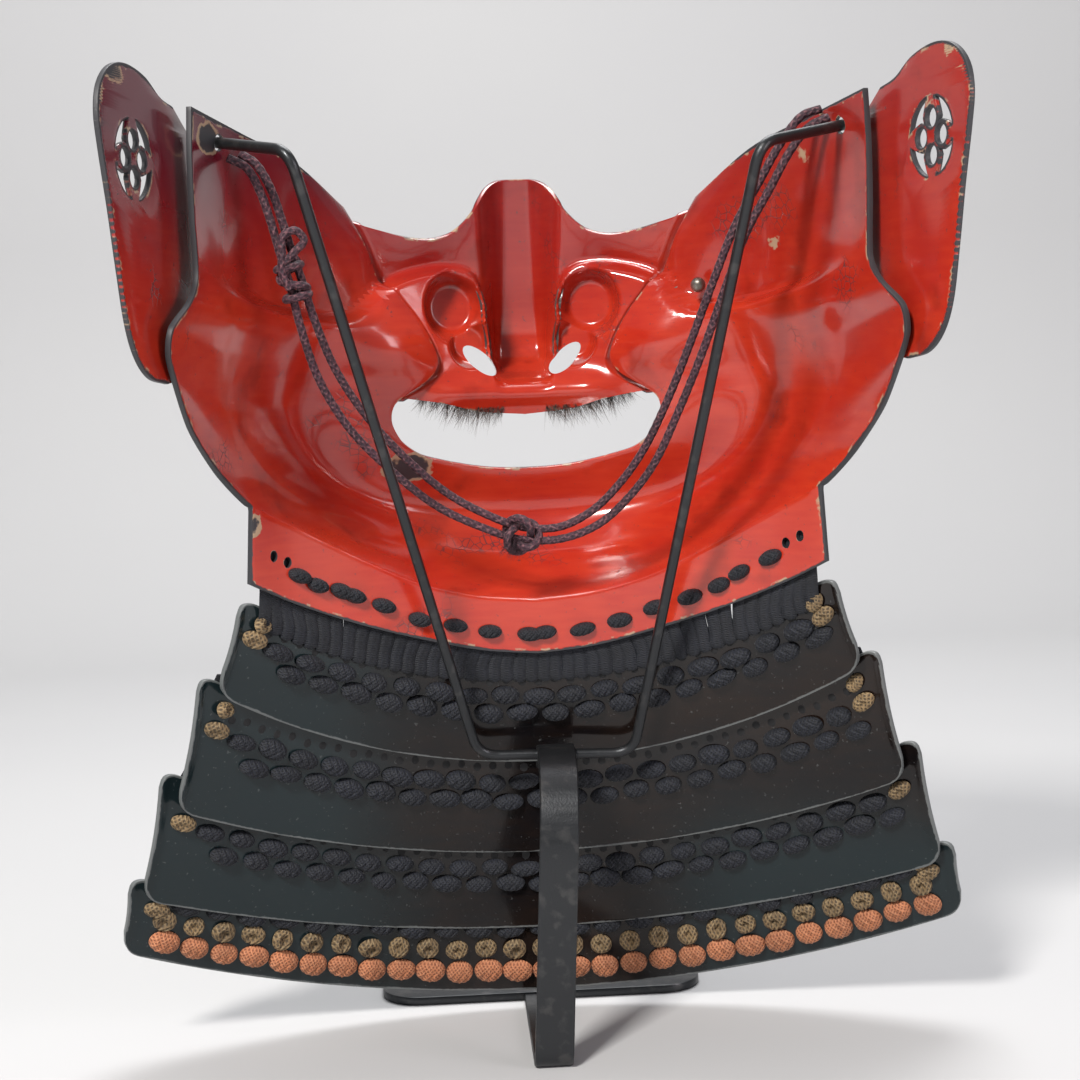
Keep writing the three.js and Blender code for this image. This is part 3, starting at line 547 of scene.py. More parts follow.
@dataclass(frozen=True)
class RedLacquer:
    """Vermilion lacquer over iron, with painted shade turning it wine red high up, worn to dark iron along its
    rims.
    """

    vermilion: Rgb = (0.36, 0.016, 0.008)
    orange: Rgb = (0.46, 0.034, 0.012)
    # colour of the painted shade high up on the left
    shade_wine: Rgb = (0.105, 0.005, 0.016)
    iron: Rgb = (0.030, 0.030, 0.034)
    russet: Rgb = (0.055, 0.030, 0.022)
    primer: Rgb = (0.36, 0.25, 0.16)

    def build(self, effects: Effects) -> bpy.types.Material:
        """The finish as a material, reading the plate's rim, outside and chip values."""
        material, graph, shader = new_material("red_lacquer")
        place = graph.add("ShaderNodeTexCoord").outputs["Object"]
        x, _, z = graph.add("ShaderNodeSeparateXYZ", {0: place}).outputs
        rim, outside, chip = (graph.add("ShaderNodeAttribute", attribute_name=name).outputs["Fac"]
                              for name in ("rim", "outside", "chip"))
        skin = graph.add("ShaderNodeGroup", {}, node_tree=effects.lacquer)
        graph.feed(skin.inputs["Vector"], place)
        worn = graph.add("ShaderNodeGroup", {}, node_tree=effects.wear)
        graph.feed(worn.inputs["Vector"], place)
        graph.feed(worn.inputs["Rim"], rim)
        worn.inputs["Reach"].default_value = 0.6
        # Painted shade: the red turns wine red high up, more strongly towards the wearer's left.
        high = graph.ramp(z, 0.196, 0.250)
        leftwards = graph.ramp(x, 0.050, -0.070)
        painted_shade_upper_left = graph.math("MULTIPLY", high, graph.math("MULTIPLY_ADD", leftwards, 0.6, 0.4))
        red = graph.mix(skin.outputs["Tone"], rgba(self.vermilion), rgba(self.orange))
        red = graph.mix(painted_shade_upper_left, red, rgba(self.shade_wine))
        soot = graph.ramp(graph.noise(place, 55.0, 5.0), 0.56, 0.72, 0.45)
        red = graph.mix(soot, red, rgba(tuple(0.35 * part for part in self.vermilion)))
        red = graph.mix(graph.math("MULTIPLY", skin.outputs["Specks"], 0.55), red, rgba(self.iron))
        cracks = graph.add("ShaderNodeTexVoronoi", {"Vector": place, "Scale": 420.0},
                           feature="DISTANCE_TO_EDGE")
        crack = graph.math("MULTIPLY", graph.ramp(cracks.outputs["Distance"], 0.07, 0.02),
                           graph.ramp(graph.noise(place, 38.0, 2.0), 0.60, 0.68))
        red = graph.mix(graph.math("MULTIPLY", crack, 0.7), red, rgba(self.iron))
        outer = graph.ramp(outside, 0.72, 0.9)
        back = graph.mix(graph.noise(place, 160.0, 5.0), rgba(self.iron), rgba(self.russet))
        colour = graph.mix(outer, red, back)
        frayed = graph.math("MULTIPLY_ADD", graph.noise(place, 330.0, 4.0), 0.5, chip)
        primed = graph.ramp(frayed, 0.50, 0.56)
        bare = graph.ramp(frayed, 0.62, 0.70)
        colour = graph.mix(graph.math("MAXIMUM", primed, worn.outputs["Chipped"]), colour, rgba(self.primer))
        metal = graph.math("MAXIMUM", bare, worn.outputs["Bare"])
        colour = graph.mix(metal, colour, rgba(self.iron))
        graph.feed(shader.inputs["Base Color"], colour)
        dull = graph.math("MAXIMUM", graph.math("MAXIMUM", metal, primed), graph.math("MULTIPLY", outer, 0.6))
        rough = graph.math("MULTIPLY_ADD", graph.noise(place, 120.0, 4.0), 0.16, 0.10)
        graph.feed(shader.inputs["Roughness"], graph.math("MULTIPLY_ADD", dull, 0.34, rough))
        graph.feed(shader.inputs["Coat Weight"], graph.math("MULTIPLY_ADD", dull, -0.5, 0.5))
        shader.inputs["Coat Roughness"].default_value = 0.08
        height = graph.math("SUBTRACT", skin.outputs["Height"], graph.math("MULTIPLY", metal, 1.2))
        height = graph.math("SUBTRACT", height, graph.math("MULTIPLY", crack, 0.4))
        bump = graph.add("ShaderNodeBump", {"Height": height, "Strength": 0.35, "Distance": 0.0003})
        graph.feed(shader.inputs["Normal"], bump.outputs[0])
        return material


@dataclass(frozen=True)
class BlackLacquer:
    """Glossy black lacquer, brown in places and blue-green in others, pale along its rims."""

    black: Rgb = (0.004, 0.004, 0.005)
    brown: Rgb = (0.012, 0.007, 0.005)
    teal: Rgb = (0.010, 0.019, 0.022)
    edge: Rgb = (0.16, 0.17, 0.17)

    def build(self, effects: Effects) -> bpy.types.Material:
        """The finish as a material, reading the plate's rim value."""
        material, graph, shader = new_material("black_lacquer")
        place = graph.add("ShaderNodeTexCoord").outputs["Object"]
        x, _, z = graph.add("ShaderNodeSeparateXYZ", {0: place}).outputs
        rim = graph.add("ShaderNodeAttribute", attribute_name="rim").outputs["Fac"]
        skin = graph.add("ShaderNodeGroup", {}, node_tree=effects.lacquer)
        graph.feed(skin.inputs["Vector"], place)
        worn = graph.add("ShaderNodeGroup", {}, node_tree=effects.wear)
        graph.feed(worn.inputs["Vector"], place)
        graph.feed(worn.inputs["Rim"], rim)
        worn.inputs["Reach"].default_value = 0.45
        low = graph.ramp(z, 0.075, 0.045)
        sideways = graph.ramp(graph.math("ABSOLUTE", x), 0.020, 0.065)
        bluish = graph.math("MULTIPLY", graph.math("MAXIMUM", low, graph.ramp(x, -0.015, -0.060)), sideways)
        colour = graph.mix(skin.outputs["Tone"], rgba(self.black), rgba(self.brown))
        colour = graph.mix(graph.math("MULTIPLY", bluish, 0.85), colour, rgba(self.teal))
        colour = graph.mix(graph.math("MULTIPLY", skin.outputs["Specks"], 0.25), colour, rgba(self.edge))
        colour = graph.mix(graph.math("MULTIPLY", worn.outputs["Bare"], 0.7), colour, rgba(self.edge))
        graph.feed(shader.inputs["Base Color"], colour)
        rough = graph.math("MULTIPLY_ADD", graph.noise(place, 60.0, 4.0), 0.12, 0.07)
        graph.feed(shader.inputs["Roughness"], graph.math("MULTIPLY_ADD", worn.outputs["Bare"], 0.3, rough))
        shader.inputs["Specular IOR Level"].default_value = 0.32
        shader.inputs["Coat Weight"].default_value = 0.15
        shader.inputs["Coat Roughness"].default_value = 0.06
        bump = graph.add("ShaderNodeBump", {"Height": skin.outputs["Height"], "Strength": 0.3,
                                            "Distance": 0.0003})
        graph.feed(shader.inputs["Normal"], bump.outputs[0])
        return material


@dataclass(frozen=True)
class Metal:
    """A plain metal with scratches, rubbed places and fine pitting."""

    name: str
    colour: Rgb
    rubbed: Rgb
    roughness: float
    metallic: float

    def build(self, effects: Effects) -> bpy.types.Material:
        """The finish as a material."""
        material, graph, shader = new_material(self.name)
        place = graph.add("ShaderNodeTexCoord").outputs["Object"]
        skin = graph.add("ShaderNodeGroup", {}, node_tree=effects.lacquer)
        graph.feed(skin.inputs["Vector"], place)
        patches = graph.ramp(graph.noise(place, 240.0, 5.0), 0.52, 0.70)
        colour = graph.mix(patches, rgba(self.colour), rgba(self.rubbed))
        graph.feed(shader.inputs["Base Color"], colour)
        rough = graph.math("MULTIPLY_ADD", skin.outputs["Tone"], 0.18, self.roughness)
        graph.feed(shader.inputs["Roughness"], rough)
        shader.inputs["Metallic"].default_value = self.metallic
        pits = graph.noise(place, 1800.0, 3.0)
        bump = graph.add("ShaderNodeBump", {"Height": pits, "Strength": 0.25, "Distance": 0.0002})
        graph.feed(shader.inputs["Normal"], bump.outputs[0])
        return material


@dataclass(frozen=True)
class Silk:
    """Braided silk: threads that cross with painted shade in the valleys between them, lighter flecks and a soft
    sheen.
    """

    name: str
    thread: Rgb
    valley_shade: Rgb
    fleck: Rgb
    across: float
    along: float
    flecks: float = 0.4

    def build(self, effects: Effects) -> bpy.types.Material:
        """The finish as a material, reading the piece's own map."""
        material, graph, shader = new_material(self.name)
        place = graph.add("ShaderNodeTexCoord").outputs["Object"]
        braid = graph.add("ShaderNodeGroup", {}, node_tree=effects.braid)
        braid.inputs["Across"].default_value = self.across
        braid.inputs["Along"].default_value = self.along
        fade = graph.ramp(graph.noise(place, 130.0, 3.0), 0.35, 0.7)
        shade = graph.mix(fade, rgba(tuple(0.6 * part for part in self.thread)), rgba(self.thread))
        # Painted shade: the valleys between the threads get the darker valley colour.
        colour = graph.mix(braid.outputs["Thread"], rgba(self.valley_shade), shade)
        flecked = graph.math("MULTIPLY", braid.outputs["Fleck"], self.flecks)
        colour = graph.mix(flecked, colour, rgba(self.fleck))
        graph.feed(shader.inputs["Base Color"], colour)
        fibres = graph.noise(place, 3800.0, 2.0)
        graph.feed(shader.inputs["Roughness"], graph.math("MULTIPLY_ADD", fibres, 0.2, 0.6))
        shader.inputs["Sheen Weight"].default_value = 0.05
        shader.inputs["Sheen Roughness"].default_value = 0.4
        height = graph.math("ADD", braid.outputs["Height"], graph.math("MULTIPLY", fibres, 0.4))
        bump = graph.add("ShaderNodeBump", {"Height": height, "Strength": 0.7, "Distance": 0.0003})
        graph.feed(shader.inputs["Normal"], bump.outputs[0])
        return material


@dataclass(frozen=True)
class Hair:
    """Stiff grey-brown bristles, some of them darker."""

    dark: Rgb = (0.020, 0.016, 0.014)
    light: Rgb = (0.150, 0.125, 0.100)

    def build(self) -> bpy.types.Material:
        """The finish as a material."""
        material, graph, shader = new_material("grey_hair")
        place = graph.add("ShaderNodeTexCoord").outputs["Object"]
        streak = graph.ramp(graph.noise(place, 1300.0, 1.0), 0.4, 0.62)
        graph.feed(shader.inputs["Base Color"], graph.mix(streak, rgba(self.dark), rgba(self.light)))
        rough = graph.math("MULTIPLY_ADD", graph.noise(place, 300.0), 0.3, 0.4)
        graph.feed(shader.inputs["Roughness"], rough)
        return material


@dataclass
class Palette:
    """Every material, built once."""

    effects: Effects = field(default_factory=Effects)

    def __post_init__(self) -> None:
        """Builds the materials."""
        make = self.effects
        self.red = RedLacquer().build(make)
        self.black = BlackLacquer().build(make)
        self.iron = Metal("blackened_iron", (0.038, 0.040, 0.043), (0.065, 0.065, 0.066),
                          0.28, 0.75).build(make)
        self.peg = Metal("peg_metal", (0.16, 0.14, 0.12), (0.42, 0.40, 0.36), 0.26, 0.9).build(make)
        # near-black colour painted as the shade inside the uncut lace holes
        self.hole = Metal("dark_hole", (0.004, 0.004, 0.005), (0.008, 0.008, 0.009), 0.6, 0.0).build(make)
        self.navy = Silk("navy_silk", (0.006, 0.008, 0.016), (0.001, 0.002, 0.003), (0.020, 0.024, 0.036),
                         4.0, 7.0).build(make)
        self.gold = Silk("gold_silk", (0.23, 0.15, 0.07), (0.03, 0.02, 0.012), (0.42, 0.32, 0.18),
                         3.0, 5.0).build(make)
        self.orange = Silk("orange_silk", (0.52, 0.19, 0.085), (0.15, 0.045, 0.02), (0.66, 0.33, 0.18),
                           5.0, 7.0).build(make)
        self.cord = Silk("purple_cord", (0.048, 0.014, 0.026), (0.014, 0.005, 0.011), (0.22, 0.09, 0.10),
                         4.0, 0.45, 0.55).build(make)
        self.hair = Hair().build()


def dress(thing: bpy.types.Object, material: bpy.types.Material, slot: Slot, *nodes: str) -> bpy.types.Object:
    """Gives a finished piece its material and body, and hides the nodes it stands for.

    Args:
        thing: the finished piece.
        material: its only material.
        slot: the record's slot for its finish; not used.
        nodes: the CAD nodes that it replaces.

    Returns:
        The piece.
    """
    thing.data.materials.clear()
    thing.data.materials.append(material)
    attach(thing, Body.ROOT.value)
    if nodes:
        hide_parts(*nodes)
    log.info("%s: %d faces", thing.name, len(thing.data.polygons))
    return thing


@dataclass
class Scatter:
    """Copies of one small piece on points that know their turn and size, by Geometry Nodes."""

    seed: int = 7
    size_jitter: float = 0.08
    turn_jitter: float = 0.10

    def tree(self) -> bpy.types.NodeTree:
        """The tree that puts the copies down and makes them real."""
        tree = bpy.data.node_groups.new("scatter", "GeometryNodeTree")
        for title, kind in (("Geometry", "NodeSocketGeometry"), ("Piece", "NodeSocketObject"),
                            ("Material", "NodeSocketMaterial"), ("Size jitter", NUMBER),
                            ("Turn jitter", NUMBER), ("Seed", "NodeSocketInt")):
            tree.interface.new_socket(title, in_out="INPUT", socket_type=kind)
        tree.interface.new_socket("Geometry", in_out="OUTPUT", socket_type="NodeSocketGeometry")
        graph = Graph(tree)
        given = graph.add("NodeGroupInput").outputs
        piece = graph.add("GeometryNodeObjectInfo", {"Object": given["Piece"]}).outputs["Geometry"]
        spin = self.random_vector(graph, given["Turn jitter"], given["Seed"], 0.0)
        grow = self.random_vector(graph, given["Size jitter"], given["Seed"], 1.0)
        turn, size = (graph.add("GeometryNodeInputNamedAttribute", {"Name": name},
                                data_type="FLOAT_VECTOR").outputs[0] for name in ("turn", "size"))
        turned = graph.add("ShaderNodeVectorMath", {0: turn, 1: spin}, operation="ADD").outputs[0]
        sized = graph.add("ShaderNodeVectorMath", {0: size, 1: grow}, operation="MULTIPLY").outputs[0]
        rotation = graph.add("FunctionNodeEulerToRotation", {0: turned}).outputs[0]
        copies = graph.add("GeometryNodeInstanceOnPoints", {"Points": given["Geometry"], "Instance": piece,
                                                           "Rotation": rotation, "Scale": sized}).outputs[0]
        real = graph.add("GeometryNodeRealizeInstances", {0: copies}).outputs[0]
        paint = graph.add("GeometryNodeSetMaterial", {"Geometry": real, "Material": given["Material"]})
        graph.add("NodeGroupOutput", {0: paint.outputs[0]})
        return tree

    def random_vector(self, graph: Graph, jitter: bpy.types.NodeSocket, seed: bpy.types.NodeSocket,
                      middle: float) -> bpy.types.NodeSocket:
        """A random vector for each point, up to jitter from middle along each axis."""
        low = graph.math("SUBTRACT", middle, jitter)
        high = graph.math("ADD", middle, jitter)
        ends = [graph.add("ShaderNodeCombineXYZ", {0: end, 1: end, 2: end}).outputs[0] for end in (low, high)]
        node = graph.add("FunctionNodeRandomValue", data_type="FLOAT_VECTOR")
        graph.feed(node.inputs[0], ends[0])
        graph.feed(node.inputs[1], ends[1])
        graph.feed(node.inputs["Seed"], seed)
        return node.outputs[0]

    def build(self, name: str, spots: "Spots", piece: bpy.types.Object,
              material: bpy.types.Material) -> bpy.types.Object:
        """Puts copies of a piece on spots.

        Args:
            name: the new object's name.
            spots: where the copies go.
            piece: the small piece, which is deleted afterwards.
            material: the copies' material.

        Returns:
            One plain mesh object with all the copies.
        """
        shell = Shell()
        shell.add(np.array(spots.places), [])
        holder = shell.build(name)
        set_values(holder, "turn", np.array(spots.turns))
        set_values(holder, "size", np.array(spots.sizes))
        tree = self.tree()
        modifier = holder.modifiers.new("scatter", "NODES")
        modifier.node_group = tree
        values = {"Piece": piece, "Material": material, "Size jitter": self.size_jitter,
                  "Turn jitter": self.turn_jitter, "Seed": self.seed}
        for item in tree.interface.items_tree:
            if item.in_out == "INPUT" and item.name in values:
                modifier[item.identifier] = values[item.name]
        settle(holder, 60.0)
        for label in ("turn", "size"):
            if label in holder.data.attributes:
                holder.data.attributes.remove(holder.data.attributes[label])
        bpy.data.objects.remove(piece)
        bpy.data.node_groups.remove(tree)
        return holder


@dataclass
class Spots:
    """Places for copies, each with its turn and size."""

    places: list[Array] = field(default_factory=list)
    turns: list[tuple[float, float, float]] = field(default_factory=list)
    sizes: list[tuple[float, float, float]] = field(default_factory=list)

    def add(self, place: Array, sideways: Array, facing: Array, size: tuple[float, float, float]) -> None:
        """Adds a place whose first axis runs sideways and whose third axis is facing.

        Args:
            place: where the copy's middle goes.
            sideways: the way of the copy's first axis.
            facing: the way of its third axis.
            size: its scale along its own axes.
        """
        third = unit(np.asarray(facing, float))
        first = unit(np.asarray(sideways, float) - third * np.dot(sideways, third))
        turn = Matrix(np.stack([first, np.cross(third, first), third], -1).tolist()).to_euler("XYZ")
        self.places.append(np.asarray(place, float))
        self.turns.append(tuple(turn))
        self.sizes.append(size)


def pad(name: str, ribs: float, height: float, dimple: float = 0.0) -> bpy.types.Object:
    """A woven oval pad of half width 1 both ways, with slanting ribs.

    Args:
        name: the object's name.
        ribs: ribs from end to end.
        height: how high it domes.
        dimple: how deep its middle is pressed in.

    Returns:
        The pad, in millimetres for a size of 1.
    """
    u, v = np.meshgrid(np.linspace(-1, 1, 25), np.linspace(-1, 1, 11), indexing="ij")
    x, y = u * np.sqrt(1 - v**2 / 2), v * np.sqrt(1 - u**2 / 2)
    reach = np.minimum(np.hypot(x, y), 1)
    dome = height * np.sqrt(np.maximum(1 - reach**3, 0))
    slant = np.cos(2 * math.pi * ribs * (0.5 * u + 0.30 * np.abs(v)))
    z = dome + 0.13 * height * slant * (1 - reach**6) - dimple * np.exp(-(reach / 0.35) ** 2)
    points = np.stack([x, y, z], -1).reshape(-1, 3)
    number = np.arange(u.size).reshape(u.shape)
    faces = np.stack([number[:-1, :-1], number[1:, :-1], number[1:, 1:], number[:-1, 1:]], -1).reshape(-1, 4)
    border = np.concatenate([number[:, 0], number[-1, 1:], number[-2::-1, -1], number[0, -2:0:-1]])
    shell = Shell()
    chart = np.stack([v * 0.5, u * 0.5], -1).reshape(-1, 2)
    shell.add(points, [*faces.tolist(), border[::-1].tolist()], chart)
    return shell.build(name)


# ---- Face ----------------------------------------------------------------------------------------
IRON = 1.3
LAME_THICKNESS = 1.4
CORNER_BEND = 4.0  # where the rounding of the crease starts
CHIN_PUSH = 3.4  # how far the lower lip stands forward
HOLLOW_DEPTH = 6.5
LOBE_HEIGHT = 4.2
FACE_AXIS_Y = -50.0
CHEEK_RADIUS = 85.7
NOSE_RADIUS = 88.2
RIM_LINE = ((0, 244.6), (4.5, 244.2), (8, 241.6), (11.5, 236.6), (15.5, 231.6), (20, 228.4), (27, 227.2),
            (38, 229.6), (48.5, 233.5), (60.5, 244), (73, 249.5), (84, 253))
LEDGE_LINE = ((9, 205), (12, 213.5), (19, 216.8), (29, 215.8), (37.5, 212), (43, 205.5), (49, 203),
              (57, 204), (69, 207.5), (82, 214))
LIP_LINE = ((0, 175.2), (13.5, 176.5), (23.2, 179), (32.3, 180.6), (40, 181.6))


def face_relief(x: Array, z: Array) -> Array:
    """How far the face plates stand out at (x, z): hollows above a ledge, and the cheeks' lobes."""
    across = np.abs(x)
    ledge, rim = along(LEDGE_LINE, across), along(RIM_LINE, across)
    up = np.clip((z - ledge) / np.maximum(rim - ledge, 1), 0, 1)
    spread = (1 - smooth(across, 62, 80)) * smooth(across, 7, 12)
    hollow = HOLLOW_DEPTH * (1 - up) ** 1.3 * smooth(z, ledge - 2.6, ledge + 2.2) * spread
    lobe = np.exp(-(((across - 39) / 13) ** 2) - ((z - 193.5) / 9.5) ** 2)
    return hollow - LOBE_HEIGHT * lobe


def push_out(points: Array, distance: Array) -> Array:
    """Moves points of the face outwards from its upright axis."""
    forward = points[..., 1] - FACE_AXIS_Y
    scale = np.asarray(distance) / np.hypot(points[..., 0], forward)
    return np.stack([points[..., 0] * (1 + scale), points[..., 1] + forward * scale, points[..., 2]], -1)


def on_cylinder(x: Array, z: Array, radius: Array) -> Array:
    """Points at (x, z) on an upright cylinder round the face's axis."""
    x, z, radius = np.broadcast_arrays(x, z, radius)
    return np.stack([x, FACE_AXIS_Y + np.sqrt(radius**2 - x**2), z], -1)


CHEEK_SECTIONS = (  # inner edge, swell of the wall, crease into the rim, outer edge
    ((48.5, 233.5), (60.5, -2, 244), (73, -25, 249.5), (81.2, -47, 252.6)),
    ((42.8, 223.8), (60.5, 2, 231), (76, -26, 236), (81.6, -47.5, 240)),
    ((37.8, 213.8), (60, 6.5, 218), (77, -27, 223), (81.6, -47.5, 226)),
    ((30, 203), (57, 12, 206), (76, -28, 210), (81.3, -48, 212)),
    ((25.8, 195), (57, 14.5, 199), (76.5, -28, 202), (82.8, -53, 205.5)),
    ((24.6, 190), (59, 15.5, 193), (79, -26, 194.5), (86.3, -59.5, 199.5)),
    ((27.3, 185.7), (62, 15.5, 187), (80, -24, 187), (87.3, -59.5, 193.5)),
    ((36.5, 179.4), (65, 14.5, 179.5), (79.5, -21, 179.5), (86.8, -55, 187.5)),
    ((37.8, 174), (63, 18, 171), (76.5, -14.5, 169.5), (85.2, -42, 175.5)),
    ((35.2, 168.5), (58, 23.5, 163), (71.5, -5, 160.5), (80.8, -29, 164.5)),
    ((30, 164.2), (50, 30, 156), (63.5, 6, 153), (73.6, -19, 154.8)),
    ((23, 162), (41.5, 35, 151.5), (54.5, 14.5, 147), (64, -9.5, 148.4)),
    ((17.5, 160.8), (33, 38.5, 148.5), (43.5, 23, 141), (47.5, 0, 138.5)),
    ((11.5, 159.8), (22, 41.5, 147), (31, 30.5, 137), (31, 5, 130.2)),
    ((5.5, 159.3), (11, 43, 146.3), (16, 35.5, 134.5), (15, 8, 125.8)),
    ((0, 159.2), (0, 43.5, 146), (0, 37, 133.6), (0, 8.5, 124.3)),
)
NECK_SECTION = 10
HEM = ((74.9, -18.6, 134.6), (64, -8.5, 127.9), (47.5, 0.5, 120.6), (31, 6, 115.2), (15, 9.3, 111.2),
       (0, 10.2, 109.6))
WIRE_ROUTE = ((-76.6, -32, 245.6), (-57.8, -58, 240.3), (-17.4, 13, 81.5), (25.7, 13, 80.4),
              (53.7, -58, 239), (78, -35, 245.2))


def edge_curve(share: Array) -> Array:
    """The cheek plate's outer edge, which carries the neck flange below."""
    return spline([section[3] for section in CHEEK_SECTIONS], share, 0.4)


def flange_point(share: Array, down: Array) -> Array:
    """A point of the neck flange's inner face.

    Args:
        share: from -1 at the left end of the flange to 1 at the right end.
        down: from 0 at its top crease to 1 at the hem.

    Returns:
        The points.
    """
    count = len(CHEEK_SECTIONS) - 1
    at = count + (NECK_SECTION - count) * np.abs(share)
    top = edge_curve(at / count)
    hem = spline(HEM, (at - NECK_SECTION) / (count - NECK_SECTION))
    point = top + (hem - top) * np.asarray(down)[..., None]
    point[..., 0] *= np.where(np.asarray(share) < 0, -1, 1)
    return point


def surface_frame(surface: Surface, share: float, down: float) -> tuple[Array, Array, Array]:
    """The place on a surface, the way across it to the right, and the way out of it forwards."""
    step = 0.004
    shares = np.array([share, share + step, share - step, share, share])
    downs = np.array([down, down, down, down + step, down - step])
    place, right, left, below, above = surface(shares, downs)
    across = unit(right - left)
    return place, across, unit(np.cross(across, below - above))


STITCH_PLACES = (-63, -58.6, -52.4, -49.2, -41.5, -32, -22.4, -13, -2.2, 2, 12.4, 22.5, 32, 41.4, 49, 54.2, 62)


@dataclass
class Mask:
    """Cheeks, jaw, chin shelf and neck flange, the nose piece, the peg and the ear plates."""

    fine_rows: int = 9
    profile_columns: int = 52
    flange_columns: int = 14
    wire_hole: float = 2.1
    lace_hole: float = 1.15
    ear_x: float = 85.8
    ear_y: float = -44.5
    ear_flare: float = 17.0
    ear_tuck: float = 9.0
    roundel: tuple[float, float, float] = (23.0, 238.3, 9.3)
    stitch_down: float = 0.62
    nose_lap: float = 3.0
    lap_clearance: float = 3.0
    spared_distance: float = 0.9

    def half_grid(self) -> Array:
        """Points of the right half of the plate, from the top section to the chin's middle."""
        count = len(CHEEK_SECTIONS) - 1
        at = np.linspace(0, count, count * self.fine_rows + 1)
        chin = smooth(np.arange(count + 1), 7, 13) * CHIN_PUSH
        inner_line = on_cylinder(*np.array([s[0] for s in CHEEK_SECTIONS], float).T, CHEEK_RADIUS + chin)
        inner = spline(inner_line, at / count, 0.4)
        wall, crease, edge = (spline([s[k] for s in CHEEK_SECTIONS], at / count, 0.4) for k in (1, 2, 3))
        bend_in = crease + unit(wall - crease) * CORNER_BEND
        bend_out = crease + unit(edge - crease) * CORNER_BEND
        shares = np.linspace(0, 1, self.profile_columns + 1)
        knots = np.stack([inner, wall, bend_in, bend_out, edge], 1)
        profile = np.stack([spline(row, shares) for row in knots])
        profile = push_out(profile, face_relief(profile[..., 0], profile[..., 2]))
        hem = spline(HEM, np.clip((at - NECK_SECTION) / (count - NECK_SECTION), 0, 1))
        drops = np.linspace(0, 1, self.flange_columns + 1)[1:, None]
        flange = edge[:, None] + (hem - edge)[:, None] * drops
        return np.concatenate([profile, flange], 1)

    def build_body(self) -> bpy.types.Object:
        """The mask's body, with holes for the wires and the open lace holes."""
        half = self.half_grid()
        mirrored = half * np.array([-1, 1, 1])
        grid = np.concatenate([mirrored, half[-2::-1]])
        rows = len(grid) - 1
        cell = np.arange(rows)
        on_flange = np.minimum(cell, rows - 1 - cell) >= NECK_SECTION * self.fine_rows
        column = np.arange(grid.shape[1] - 1)
        kept = (column[None] < self.profile_columns) | on_flange[:, None]
        body = plate("mask_body_shell", grid, IRON, kept)
        soften(body, 0.3)
        settle(body)
        posts = []
        for tip, bend in (WIRE_ROUTE[:2], WIRE_ROUTE[:-3:-1]):
            way = np.array(tip) - np.array(bend)
            posts.append(post(np.array(tip), way, (self.wire_hole, self.wire_hole), 14))
        for side in Side:
            for share in (0.83, 0.89):
                place, _, facing = surface_frame(flange_point, side.value * share, 0.5)
                posts.append(post(place, facing, (self.lace_hole * 1.25, self.lace_hole), 8))
        pierce(body, posts)
        points = points_of(body)
        set_values(body, "chip", self.chips(points))
        self.spare_rim(body, (points[:, 1] > 5) & (points[:, 2] > 157))
        return body

    def spare_rim(self, thing: bpy.types.Object, spared: Array) -> None:
        """Keeps wear off a rim that stays covered in red, by moving its points away from the edge.

        Args:
            thing: the plate.
            spared: which of its points are spared.
        """
        rim = np.zeros(len(thing.data.vertices), dtype=np.float32)
        thing.data.attributes["rim"].data.foreach_get("value", rim)
        rim += np.where(spared, self.spared_distance, 0).astype(np.float32)
        thing.data.attributes["rim"].data.foreach_set("value", rim)

    def chips(self, points: Array) -> Array:
        """How deep the lacquer is broken at each point, from 0, whole, to 1."""
        spots = (  # middle, reach along each axis, strength
            ((-33, 28, 160), (10, 12, 6), 1.0),
            ((-78.5, -38, 246), (5, 10, 5), 0.8),
            ((-70, -20, 251), (6, 6, 4), 0.7),
            ((66, 2, 219), (5, 5, 4), 0.42),
            ((-80, -42, 160), (5, 8, 6), 0.6),
            ((70, -20, 240), (6, 8, 6), 0.35),
            ((-74, -18, 150), (4, 6, 5), 0.55),
            ((75, -16, 150), (4, 6, 5), 0.55),
        )
        value = np.zeros(len(points))
        for centre, reach, strength in spots:
            distance = np.linalg.norm((points - centre) / reach, axis=1)
            value = np.maximum(value, strength * np.clip(1.15 - distance, 0, 1))
        lip = (np.abs(points[:, 0]) < 28) & (points[:, 2] > 157.6) & (points[:, 1] > 30)
        return np.maximum(value, np.where(lip, 0.16, 0))

    def nose_relief(self, x: Array, z: Array) -> Array:
        """How far the nose stands out from the face at (x, z)."""
        levels = (176, 184, 187.5, 191, 199, 214, 244.6)
        depth, half, square = (along(list(zip(levels, row)), z) for row in (
            (0, 2, 12, 20, 22, 17, 9), (9, 9, 9, 9.5, 10.5, 12, 12), (2.6, 2.6, 2.6, 2.6, 2.2, 1.6, 1.3)))
        across = np.abs(x)
        reach = np.clip(across / half, 0, 1)
        out = depth * smooth(1 - reach**square, 0, 0.9)
        for wing_x, wing_z, half_x, half_z, deep in ((18.5, 206, 9.6, 11.2, 9), (14.5, 195.5, 7, 8, 6.5)):
            away = ((across - wing_x) / half_x) ** 2 + ((z - wing_z) / half_z) ** 2
            out = np.maximum(out, deep * smooth(1 - away, 0, 0.75))
        roll = np.exp(-(((z - 181.5) / 4.5) ** 2)) * (1 - smooth(across, 18, 32))
        return out - 4 * roll

